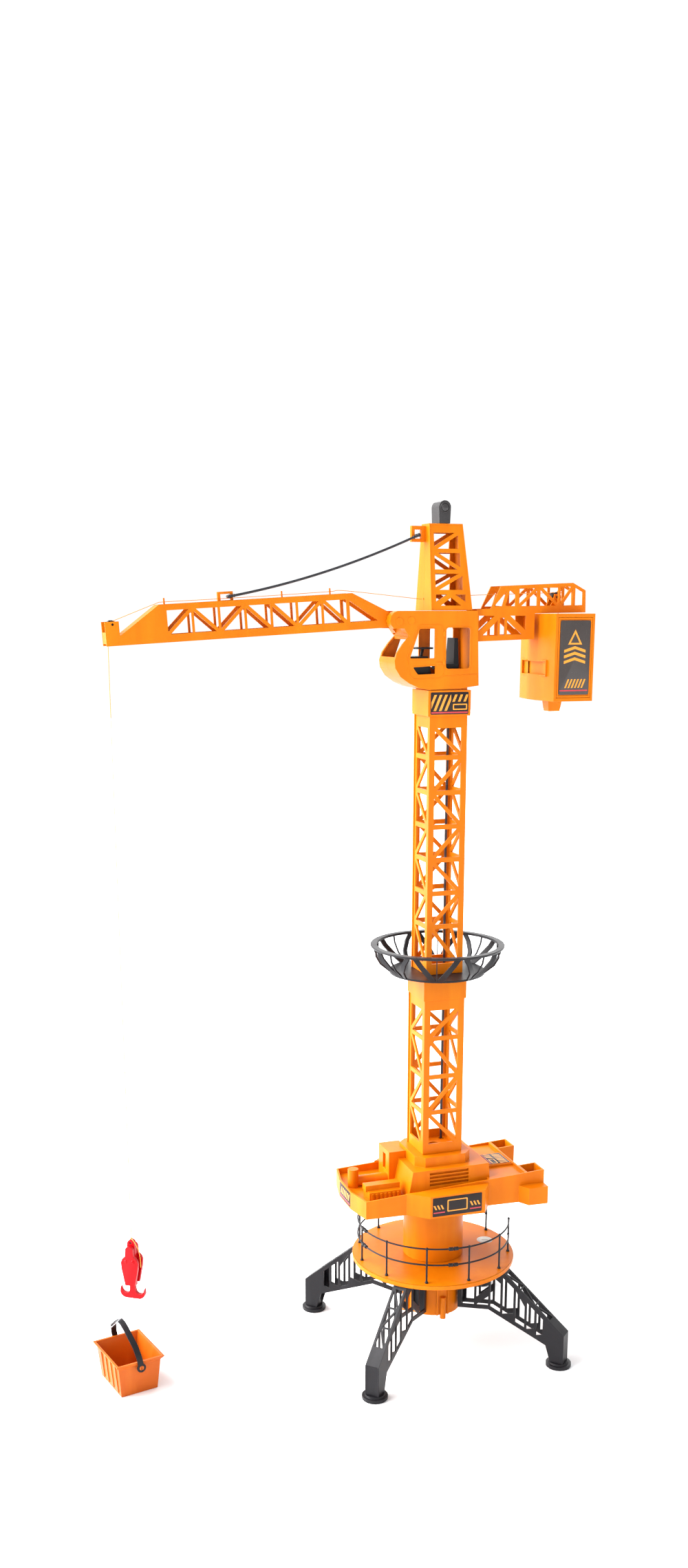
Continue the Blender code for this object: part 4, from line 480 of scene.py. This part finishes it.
def smooth_path(points, steps):
    """A curve through the points, with that many steps between each pair."""
    points = [Vector(p) for p in points]
    ends = [2 * points[0] - points[1], *points, 2 * points[-1] - points[-2]]
    path = []
    for k in range(1, len(ends) - 2):
        a, b, c, d = ends[k - 1:k + 3]
        for j in range(steps):
            t = j / steps
            path.append(0.5 * (2 * b + (c - a) * t + (2 * a - 5 * b + 4 * c - d) * t * t
                               + (3 * b - a - 3 * c + d) * t ** 3))
    path.append(points[-1])
    return path


def evenly(points, spacing):
    """The same line with its points a set distance apart."""
    lengths = [0.0]
    for a, b in zip(points, points[1:]):
        lengths.append(lengths[-1] + (b - a).length)
    count = max(2, round(lengths[-1] / spacing))
    result, k = [], 0
    for j in range(count + 1):
        want = lengths[-1] * j / count
        while k < len(points) - 2 and lengths[k + 1] < want:
            k += 1
        share = (want - lengths[k]) / max(1e-9, lengths[k + 1] - lengths[k])
        result.append(points[k].lerp(points[k + 1], min(1.0, share)))
    return result


def piece(name, bm, materials, body=None, sharp=35):
    """The finished mesh as an object that rides on a CAD body."""
    bmesh.ops.recalc_face_normals(bm, faces=bm.faces)
    mesh = bpy.data.meshes.new(name)
    bm.to_mesh(mesh)
    bm.free()
    mesh.shade_smooth()
    mesh.set_sharp_from_angle(angle=math.radians(sharp))
    made = bpy.data.objects.new(name, mesh)
    bpy.context.scene.collection.objects.link(made)
    for material in materials:
        mesh.materials.append(material)
    if body:
        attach(made, body)
    return made


# ---------------------------------------------------------------- finish of the CAD's own parts
# Only these parts are bevelled. The others in orange, black, red and bucket plastic are rounded in their
# material's shading; the rest keep sharp creases.
EDGE_ROUNDING = {
    "base_disc": 0.0008, "battery_hatch": 0.0005, "winch_box": 0.0008, "winch_box_cover": 0.0003,
    "beacon_lamp": 0.0016, "hook_block": 0.0007, "bucket": 0.0005, "bucket_bail": 0.0004,
    "operator_seat": 0.0012, "winch_drum": 0.0003,
}
SMOOTH_WITHIN = math.radians(32)
WELD_WITHIN = 0.00001


def finish_cad_nodes():
    """Gives each CAD part the material of its slot, and bevels or creases its edges."""
    slots = {part["node"]: part["material_slot"] for part in frame["record"]["subparts"]}
    for name, part in frame["nodes"].items():
        mesh = part.data
        if "custom_normal" in mesh.attributes:
            mesh.attributes.remove(mesh.attributes["custom_normal"])
        mesh.shade_smooth()
        mesh.materials.clear()
        mesh.materials.append(LAMP_GREY if name == "beacon_lamp" else FINISH[slots[name]])
        weld = part.modifiers.new("weld", "WELD")
        weld.merge_threshold = WELD_WITHIN
        if name not in EDGE_ROUNDING:
            creases = part.modifiers.new("creases", "EDGE_SPLIT")
            creases.split_angle = SMOOTH_WITHIN
            continue
        rounding = part.modifiers.new("rounding", "BEVEL")
        rounding.width = EDGE_ROUNDING[name]
        rounding.segments = 2
        rounding.limit_method = "ANGLE"
        rounding.angle_limit = SMOOTH_WITHIN
        rounding.harden_normals = True


# ---------------------------------------------------------------- railing
RAIL_CIRCLE = 0.1186
RAIL_TOP, RAIL_MID = 0.2045, 0.1785
RAIL_RADIUS, POST_RADIUS, KNOT_RADIUS = 0.0013, 0.0014, 0.0019
POST_ANGLES = [21 + 31.8 * k for k in range(11)]
RAILINGS = (
    ("front_right", 97.2, 184.8, POST_ANGLES[3:6], True, True),
    ("rear_right", 21.0, 96.8, POST_ANGLES[:3], False, True),
    ("front_left", 185.2, 262.8, POST_ANGLES[6:8], True, True),
    ("rear_left", 263.2, 339.0, POST_ANGLES[8:], True, False),
)


def on_rail(angle, z):
    turn = math.radians(angle)
    return Vector((MAST_X + RAIL_CIRCLE * math.cos(turn), RAIL_CIRCLE * math.sin(turn), z))


def build_railing(name, start, end, posts, sleeve_at_start, sleeve_at_end):
    """One stretch of the railing: two round rails, posts with flared feet, and split sleeves."""
    bm = bmesh.new()
    for z in (RAIL_TOP, RAIL_MID):
        steps = round((end - start) / 2)
        path = [on_rail(start + (end - start) * k / steps, z) for k in range(steps + 1)]
        add_tube(bm, path, lambda k: circle(RAIL_RADIUS, 14))
    for angle in posts:
        low, high = on_rail(angle, DISC_TOP + GAP), on_rail(angle, RAIL_TOP)
        foot = [(0.0, 0.0027), (0.0010, 0.0027), (0.0018, 0.0023), (0.0032, 0.0016), (0.0048, POST_RADIUS)]
        heights = [h for h, _ in foot] + [high.z - low.z + 0.0006, high.z - low.z + 0.0011]
        radii = [r for _, r in foot] + [POST_RADIUS, 0.0009]
        add_tube(bm, [low + Vector((0, 0, h)) for h in heights], lambda k: circle(radii[k], 14))
        for z in (RAIL_TOP, RAIL_MID):
            knot = on_rail(angle, z)
            low_end, high_end = knot - Vector((0, 0, 0.0022)), knot + Vector((0, 0, 0.0020))
            add_rod(bm, low_end, high_end, KNOT_RADIUS, 14, edge=0.0006)
    sleeves = [(start, 3.4)] * sleeve_at_start + [(end, -3.4)] * sleeve_at_end
    for angle, reach in sleeves:
        for z in (RAIL_TOP, RAIL_MID):
            path = [on_rail(angle + reach * share, z) for share in (0.0, 0.06, 0.5, 0.94, 1.0)]
            radii_here = (0.0023, 0.0028, 0.0028, 0.0028, 0.0022)
            add_tube(bm, path, lambda k: circle(radii_here[k], 16))
            ring = on_rail(angle + reach * 0.12, z)
            ahead = (path[1] - path[0]).normalized() * 0.0004
            add_rod(bm, ring - ahead, ring + ahead, 0.00305, 16, edge=0.0002)
    made = piece("railing_bars_" + name, bm, [BLACK], "base", 40)
    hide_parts("railing_" + name)


# ---------------------------------------------------------------- lines and the stay
def jib_point(along, up):
    cos, sin = math.cos(JIB_DROOP), math.sin(JIB_DROOP)
    return Vector((MAST_X + PIVOT[0] - along * cos - up * sin, 0, PIVOT[1] - along * sin + up * cos))


def ply(radius, pitch, spacing, strands=2):
    """The section of a twisted line: rounded lobes that turn on the way along."""
    def section(k):
        turn = 2 * math.pi * k * spacing / pitch
        points = []
        for j in range(10):
            angle = 2 * math.pi * j / 10
            lobe = 1 - 0.26 * (0.5 + 0.5 * math.cos(strands * (angle - turn)))
            points.append((radius * lobe * math.cos(angle), radius * lobe * math.sin(angle)))
        return points
    return section


def build_line(name, points, node):
    path = evenly(smooth_path(points, 6), LINE_SPACING)
    bm = bmesh.new()
    add_tube(bm, path, ply(LINE_RADIUS, LINE_PITCH, LINE_SPACING))
    made = piece(name, bm, [YARN], None, 60)
    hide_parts(node)
    return made


def build_lines():
    """The hoist line's three taut runs: over the jib, over the counter-jib and down to the hook."""
    tip, tip_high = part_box("tip_roller")
    centre = (tip + tip_high) / 2
    wrap = 0.0046
    points = [Vector((MAST_X - 0.0312, 0, 1.1472))]
    over_guides = ((0.0640, 0.0448), (0.0896, 0.0452), (0.1586, 0.0446), (0.2388, 0.0444), (0.3220, 0.0446),
                   (0.3330, 0.0430))
    points += [jib_point(a, b) for a, b in over_guides]
    for turn in (1.15, 1.75, 2.4, 3.05):
        points.append(Vector((centre.x + wrap * math.cos(turn), 0, centre.z + wrap * math.sin(turn))))
    over_jib = build_line("hoist_line_over_jib", points, "hoist_line_jib")
    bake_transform(over_jib)
    tail_low, tail_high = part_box("tail_roller")
    centre = (tail_low + tail_high) / 2
    wrap = 0.0063
    points = [Vector((MAST_X + 0.1813, 0, 1.0860)), Vector((centre.x + wrap, 0, 1.1385))]
    for turn in (0.0, 0.55, 1.1, 1.6):
        points.append(Vector((centre.x + wrap * math.cos(turn), 0, centre.z + wrap * math.sin(turn))))
    points += [Vector((MAST_X + x, 0, z)) for x, z in ((0.0335, 1.1524), (0.0, 1.1496), (-0.0300, 1.1473))]
    over_tail = build_line("hoist_line_over_counter_jib", points, "hoist_line_tail")
    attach(over_tail, "upperworks")
    heights = (DROP_HIGH.z, (DROP_HIGH.z + DROP_LOW.z) / 2, DROP_LOW.z)
    points = [Vector((MAST_X + DROP_X, 0, z)) for z in heights]
    drop = build_line("hoist_line_hanging", points, "hoist_line_drop")
    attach(drop, "hanging_line")
    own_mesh(drop)


def stay_point(start, end, share):
    """A point on the stay, which sags a little below the straight way between its ends."""
    point = start.lerp(end, share)
    point.z -= 4 * STAY_SAG * share * (1 - share)
    return point


def build_stay():
    """The round elastic stay from the tower head to the jib, hooked through its two loops."""
    start, end = Vector((MAST_X - 0.0405, -0.0068, 1.2335)), Vector((MAST_X - 0.3142, -0.0108, 1.1502))
    points = [stay_point(start, end, k / 40) for k in range(41)]
    bm = bmesh.new()
    add_tube(bm, evenly(points, 0.002), lambda k: circle(STAY_RADIUS, 16))
    for point, far in ((start, 0.0060), (end, -0.0014)):
        add_rod(bm, point - Vector((0, 0.0022, 0)), (point.x, far, point.z), 0.0021, 16, edge=0.0006)
        add_rod(bm, point - Vector((0, 0.0026, 0)), point + Vector((0, 0.0008, 0)), 0.0026, 16, edge=0.0007)
    for share in (0.012, 0.026, 0.974, 0.988):
        place = stay_point(points[0], points[-1], share)
        along = (points[-1] - points[0]).normalized() * 0.0013
        add_rod(bm, place - along, place + along, 0.0022, 16, edge=0.0005)
    made = piece("jib_stay", bm, [STRAP], None, 45)
    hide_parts("jib_tie_strap")
    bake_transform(made)


def build_knot():
    """The knot above the hook and the loose tail of the line that hangs from it."""
    top = HOOK_TOP
    bm = bmesh.new()
    turns = ((top - 0.0001, 0.00115, 0.0), (top + 0.0005, 0.0010, 1.2), (top + 0.0010, 0.00085, 2.6))
    for height, radius, start in turns:
        ring = []
        for k in range(19):
            turn = start + 2 * math.pi * k / 18
            ring.append(HOOK_PLACE @ Vector((radius * math.cos(turn), radius * math.sin(turn),
                                             height + 0.0002 * math.sin(2 * turn))))
        add_tube(bm, ring, lambda k: circle(0.00042, 8))
    knot = piece("knot_turns", bm, [YARN], "hook", 60)
    tail = [(0.0005, -0.0010, top - 0.0004), (0.0050, -0.0062, top + 0.0008), (0.0110, -0.0100, top - 0.0035),
            (0.0172, -0.0135, top - 0.0125), (0.0198, -0.0150, top - 0.0240), (0.0202, -0.0152, top - 0.0365)]
    path = evenly(smooth_path([HOOK_PLACE @ Vector(p) for p in tail], 10), LINE_SPACING)
    bm = bmesh.new()
    add_tube(bm, path, ply(LINE_RADIUS, LINE_PITCH, LINE_SPACING))
    loose = piece("line_tail_at_hook", bm, [YARN], "hook", 60)
    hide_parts("line_knot")


# ---------------------------------------------------------------- labels without lettering
def slant(left, low, right, high, lean):
    return [(left, low), (right, low), (right + lean, high), (left + lean, high)]


def clipped(outline, left, low, right, high):
    """The part of an outline inside a rectangle."""
    for axis, limit, keep_above in ((0, left, True), (0, right, False), (1, low, True), (1, high, False)):
        result = []
        for a, b in zip(outline, outline[1:] + outline[:1]):
            inside_a = (a[axis] >= limit) == keep_above or a[axis] == limit
            inside_b = (b[axis] >= limit) == keep_above or b[axis] == limit
            if inside_a:
                result.append(a)
            if inside_a != inside_b:
                share = (limit - a[axis]) / (b[axis] - a[axis])
                result.append((a[0] + share * (b[0] - a[0]), a[1] + share * (b[1] - a[1])))
        outline = result
    return outline


FILM = 0.00022  # thickness of a label
PRINT = 0.00005  # how far its marks stand up, twice that for the dark ones on top


def build_label(name, width, height, marks, place, body, ground=LABEL_BLACK):
    """A thin film with rounded corners and printed marks. marks are (outline, material number)."""
    bm = bmesh.new()
    half_w, half_h = width / 2, height / 2
    film = rounded(-half_w, -half_h, half_w, half_h, min(width, height) * 0.05)
    add_plate(bm, film, 0, FILM, place, edge=0.00006)
    edge = min(width, height) * 0.035
    for outline, material in marks:
        shape = clipped(outline, -half_w + edge, -half_h + edge, half_w - edge, half_h - edge)
        if len(shape) > 2:
            rise = PRINT if material else 2 * PRINT
            add_plate(bm, shape, FILM * 0.8, FILM + rise, place, material=material)
    return piece(name, bm, [ground, LABEL_YELLOW, LABEL_RED], body, 30)


def facing(point, right, up):
    """A place on a surface, from the way its labels read."""
    right, up = Vector(right).normalized(), Vector(up).normalized()
    matrix = Matrix((right, up, right.cross(up))).transposed().to_4x4()
    return Matrix.Translation(Vector(point) + Vector((MAST_X, 0, 0))) @ matrix


def mast_marks():
    marks = []
    for k in range(-1, 4):
        marks.append((slant(-0.0330 + 0.0083 * k, -0.0105, -0.0290 + 0.0083 * k, 0.0120, 0.0095), 1))
    marks = [(clipped(m, -0.0280, -0.0105, 0.0022, 0.0120), c) for m, c in marks]
    small = [slant(0.0040 + 0.0085 * k, 0.0020, 0.0078 + 0.0085 * k, 0.0120, 0.0042) for k in range(3)]
    marks += [(clipped(m, 0.0040, 0.0020, 0.0280, 0.0120), 1) for m in small]
    marks.append((rounded(0.0050, -0.0095, 0.0270, -0.0010, 0.0012), 1))
    marks.append((rounded(0.0068, -0.0078, 0.0252, -0.0027, 0.0008), 0))
    marks.append((rounded(-0.0282, -0.0140, 0.0282, -0.0120, 0.0003), 2))
    return marks


def boss_marks():
    """Leaning bars at both ends over red lines, and an empty frame, whose inner bars lie under its block."""
    marks = []
    for side in (-1, 1):
        for k in range(3):
            x = side * 0.0295 + (k - 1) * 0.0056
            marks.append((slant(x - 0.0005, -0.0040, x + 0.0022, 0.0030, -0.0034), 1))
        marks.append((rounded(side * 0.0295 - 0.0092, -0.0098, side * 0.0295 + 0.0092, -0.0080, 0.0003), 2))
    marks.append((rounded(-0.0165, -0.0090, 0.0165, 0.0100, 0.0016), 1))
    marks.append((rounded(-0.0145, -0.0072, 0.0145, 0.0082, 0.0010), 0))
    for k in range(3):
        marks.append((rounded(-0.0120, -0.0050 + 0.0045 * k, 0.0120, -0.0026 + 0.0045 * k, 0.0006), 1))
    return marks


def nose_marks():
    marks = []
    for k in range(6):
        marks.append((slant(-0.0200 + 0.0068 * k, -0.0040, -0.0165 + 0.0068 * k, 0.0070, 0.0040), 1))
    marks.append((rounded(-0.0225, -0.0090, 0.0225, -0.0070, 0.0003), 2))
    return marks


def cover_marks():
    """A plain triangle outline high up, three chevrons below it, six leaning bars and a red line."""
    marks = [([(-0.0112, 0.0185), (0.0112, 0.0185), (0.0, 0.0395)], 1),
             ([(-0.0070, 0.0209), (0.0070, 0.0209), (0.0, 0.0340)], 0)]
    for k in range(3):
        low = -0.0085 + 0.0078 * k
        marks.append(([(-0.0170, low), (0.0, low + 0.0052), (0.0170, low), (0.0170, low + 0.0040),
                       (0.0, low + 0.0092), (-0.0170, low + 0.0040)], 1))
    for k in range(6):
        marks.append((slant(-0.0150 + 0.0052 * k, -0.0425, -0.0124 + 0.0052 * k, -0.0300, 0.0052), 1))
    marks.append((rounded(-0.0222, -0.0470, 0.0222, -0.0452, 0.0004), 2))
    return marks


def hatch_marks():
    marks = []
    for k in range(-1, 6):
        marks.append((slant(-0.0200 + 0.0062 * k, -0.0135, -0.0168 + 0.0062 * k, -0.0010, 0.0070), 1))
    marks.append((rounded(-0.0190, 0.0025, -0.0010, 0.0125, 0.0010), 1))
    marks.append((rounded(-0.0175, 0.0042, -0.0025, 0.0108, 0.0008), 0))
    marks += [(slant(0.0020 + 0.0058 * k, 0.0025, 0.0048 + 0.0058 * k, 0.0125, 0.0048), 1) for k in range(3)]
    marks.append((rounded(-0.0205, 0.0140, 0.0205, 0.0158, 0.0003), 2))
    return marks


def build_labels():
    east, north, up = (1, 0, 0), (0, 1, 0), (0, 0, 1)
    west, south = (-1, 0, 0), (0, -1, 0)
    sides = (("left", -1, east), ("right", 1, west))
    for name, side, reading in sides:
        place = facing((0, side * 0.0315, 1.0040), reading, up)
        build_label("mast_label_" + name, 0.0580, 0.0310, mast_marks(), place, "upperworks")
    for name, side, reading in sides:
        place = facing((0, side * 0.0955, 0.2645), reading, up)
        build_label("chassis_label_" + name, 0.0800, 0.0300, boss_marks(), place, "upperworks")
    nose_face = facing((-0.1465, 0, 0.2630), south, up)
    build_label("nose_label", 0.0490, 0.0230, nose_marks(), nose_face, "upperworks")
    cover_face = facing((0.18175, -0.0568, 1.0660), east, up)
    build_label("winch_cover_label", 0.0475, 0.1040, cover_marks(), cover_face, "upperworks", LABEL_GREY)
    hatch_face = facing((0.10375, 0, 0.2902), north, west)
    build_label("hatch_label", 0.0420, 0.0325, hatch_marks(), hatch_face, "upperworks")


def build_sticker():
    """A plain round paper sticker with a ring of short strokes and an empty bar."""
    bm = bmesh.new()
    place = facing((0.0935, 0.0085, DISC_TOP), (0.94, -0.34, 0), (0.34, 0.94, 0))
    add_plate(bm, circle(0.0125, 48), 0, 0.00012, place, edge=0.00004)
    for k in range(26):
        turn = 2 * math.pi * k / 26
        way, side = Vector((math.cos(turn), math.sin(turn))), Vector((-math.sin(turn), math.cos(turn)))
        corners = [way * 0.0094 - side * 0.0003, way * 0.0112 - side * 0.0003,
                   way * 0.0112 + side * 0.0003, way * 0.0094 + side * 0.0003]
        add_plate(bm, [tuple(c) for c in corners], 0.0001, 0.00015, place, material=1)
    add_plate(bm, rounded(-0.0048, -0.0011, 0.0048, 0.0011, 0.0005), 0.0001, 0.00015, place, material=1)
    piece("inspection_sticker", bm, [PAPER, INK], "base", 30)


# ---------------------------------------------------------------- cab, head and lamp details
CAB_HALF = 0.0320
FRONT_WINDOW = [(-0.0612, 1.0668), (-0.0240, 1.0668), (-0.0240, 1.1072), (-0.0468, 1.1072)]
LOWER_WINDOW = [(-0.0492, 1.0445), (-0.0230, 1.0452), (-0.0230, 1.0562), (-0.0566, 1.0545)]
DOOR = [(-0.0577, 1.0389), (-0.0169, 1.0394), (-0.0100, 1.0436), (-0.0106, 1.0602), (-0.0113, 1.0986),
        (-0.0140, 1.1112), (-0.0172, 1.1124), (-0.0485, 1.1119), (-0.0570, 1.0905), (-0.0655, 1.0690),
        (-0.0614, 1.0463)]
SINK, BEAD = -0.0003, 0.0007  # how deep a trim starts below the cab's side, and how high its beads stand
HEAD_FOOT, HEAD_TOP = 1.1318, 1.2490


def cab_side(side):
    """The cab's side as a drawing surface: across is world X, up is world Z."""
    return Matrix(((1, 0, 0, MAST_X), (0, 0, side, side * CAB_HALF), (0, 1, 0, 0), (0, 0, 0, 1)))


def build_cab_details():
    """Beads round the cab's windows, and the door's outline, hinges, handle and seam, on both sides."""
    for name, side in (("left", -1), ("right", 1)):
        place = cab_side(side)
        bm = bmesh.new()
        for window, radius in ((FRONT_WINDOW, 0.0022), (LOWER_WINDOW, 0.0020)):
            add_rim(bm, softened(anticlockwise(window), radius), 0.0015, SINK, BEAD, place)
        rear = rounded(-0.0068, 1.0520, 0.0296, 1.1085, 0.0035)
        add_rim(bm, rear, 0.0017, SINK, BEAD, place)
        piece("cab_window_rims_" + name, bm, [ORANGE], "upperworks", 50)
        bm = bmesh.new()
        add_rim(bm, softened(anticlockwise(DOOR), 0.0045, 5), 0.0009, SINK, 0.0006, place)
        for low in (1.0575, 1.0960):
            start = place @ Vector((-0.0094, low, 0.0003))
            end = place @ Vector((-0.0094, low + 0.0085, 0.0003))
            add_rod(bm, start, end, 0.0011, 14, edge=0.0003)
            hinge_plate = rounded(-0.0122, low + 0.0015, -0.0094, low + 0.0070, 0.0006)
            add_plate(bm, hinge_plate, SINK, BEAD, place, edge=0.0002)
        handle = rounded(-0.0212, 1.0590, -0.0128, 1.0612, 0.0010)
        add_plate(bm, handle, SINK, 0.0011, place, edge=0.0004)
        seam = [(-0.0085, 1.0418), (0.0425, 1.0440), (0.0425, 1.0446), (-0.0085, 1.0424)]
        add_plate(bm, seam, SINK, 0.00035, place, edge=0.00015)
        piece("cab_door_trim_" + name, bm, [ORANGE], "upperworks", 50)


def head_point(share_x, share_z, side):
    """A point on the tower head's side: shares of its width and height."""
    z = HEAD_FOOT + share_z * (HEAD_TOP - HEAD_FOOT)
    low, high = -0.0295 + 0.0015 * share_z, 0.0330 - 0.0105 * share_z
    y = 0.0300 - 0.0160 * share_z
    return Vector((MAST_X + low + share_x * (high - low), side * y, z))


def build_head_trim():
    """The raised border along the edges of the tower head's two sides."""
    for name, side in (("left", -1), ("right", 1)):
        bm = bmesh.new()
        shares = ((0.012, 0.006), (0.988, 0.006), (0.985, 0.992), (0.015, 0.992))
        corners = [head_point(*c, side) for c in shares]
        for a, b in zip(corners, corners[1:] + corners[:1]):
            path = [a.lerp(b, k / 8) for k in range(9)]
            add_tube(bm, path, lambda k: circle(0.0007, 10))
        piece("tower_head_border_" + name, bm, [ORANGE], "upperworks", 50)


def build_lamp_details():
    """A domed lens in a ring on each of the lamp's two faces."""
    low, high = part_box("beacon_lamp")
    centre_x, centre_z = (low.x + high.x) / 2, high.z - 0.0095
    for name, side, face in (("left", -1, low.y), ("right", 1, high.y)):
        bm = bmesh.new()
        place = Matrix(((1, 0, 0, centre_x), (0, 0, side, face), (0, 1, 0, centre_z), (0, 0, 0, 1)))
        add_rim(bm, circle(0.0056, 40), 0.0013, -0.0004, 0.0010, place)
        rings = []
        for k in range(9):
            turn = math.radians(90 * k / 9)
            rings.append((0.0054 * math.cos(turn), -0.0002 + 0.0026 * math.sin(turn)))
        loops = [loop_of(bm, circle(radius, 40), height, place) for radius, height in rings]
        for first, second in zip(loops, loops[1:]):
            bridge(bm, first, second)
        bm.faces.new(loops[0][::-1])
        bm.faces.new(loops[-1])
        piece("lamp_lens_" + name, bm, [LAMP_GREY], "upperworks", 50)


# ---------------------------------------------------------------- bucket's twist tie
TIE_PITCH, TIE_SPACING = 0.0055, 0.0005
TIE_OFF_MIDDLE, TIE_WIRE_RADIUS = 0.00042, 0.00036


def build_twist_tie():
    """Two thin wires wound round each other over the top of the bail, ending in open loops."""
    on_bail = (ON_MAST @ Matrix.Translation((-0.4865, 0.0129, 0.0457))
               @ Matrix.Rotation(math.radians(12.5), 4, "Z") @ Matrix.Rotation(math.radians(-10), 4, "Y"))
    route = [(-0.0280, -0.0250, 0.0720), (-0.0290, -0.0200, 0.0640), (-0.0200, -0.0100, 0.0600),
             (-0.0075, -0.0040, 0.0610), (0.0000, 0.0005, 0.0612), (0.0075, 0.0030, 0.0600),
             (0.0200, 0.0080, 0.0580), (0.0320, 0.0120, 0.0620), (0.0400, 0.0130, 0.0720),
             (0.0380, 0.0100, 0.0800), (0.0280, 0.0060, 0.0810), (0.0160, 0.0030, 0.0760),
             (0.0090, 0.0010, 0.0690)]
    path = evenly(smooth_path([on_bail @ Vector(p) for p in route], 10), TIE_SPACING)
    bm = bmesh.new()
    for strand in (0, 1):
        wound = []
        for k, (point, (_, normal, across)) in enumerate(zip(path, frames_along(path))):
            spin = 2 * math.pi * k * TIE_SPACING / TIE_PITCH + math.pi * strand
            wound.append(point + (normal * math.cos(spin) + across * math.sin(spin)) * TIE_OFF_MIDDLE)
        add_tube(bm, wound, lambda k: circle(TIE_WIRE_RADIUS, 8))
    made = piece("silver_twist_tie", bm, [WIRE], "bail", 60)
    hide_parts("twist_tie")


add_camera()
add_studio()
build_knot()
finish_cad_nodes()
for railing in RAILINGS:
    build_railing(*railing)
build_lines()
build_stay()
build_labels()
build_sticker()
build_cab_details()
build_head_trim()
build_lamp_details()
build_twist_tie()
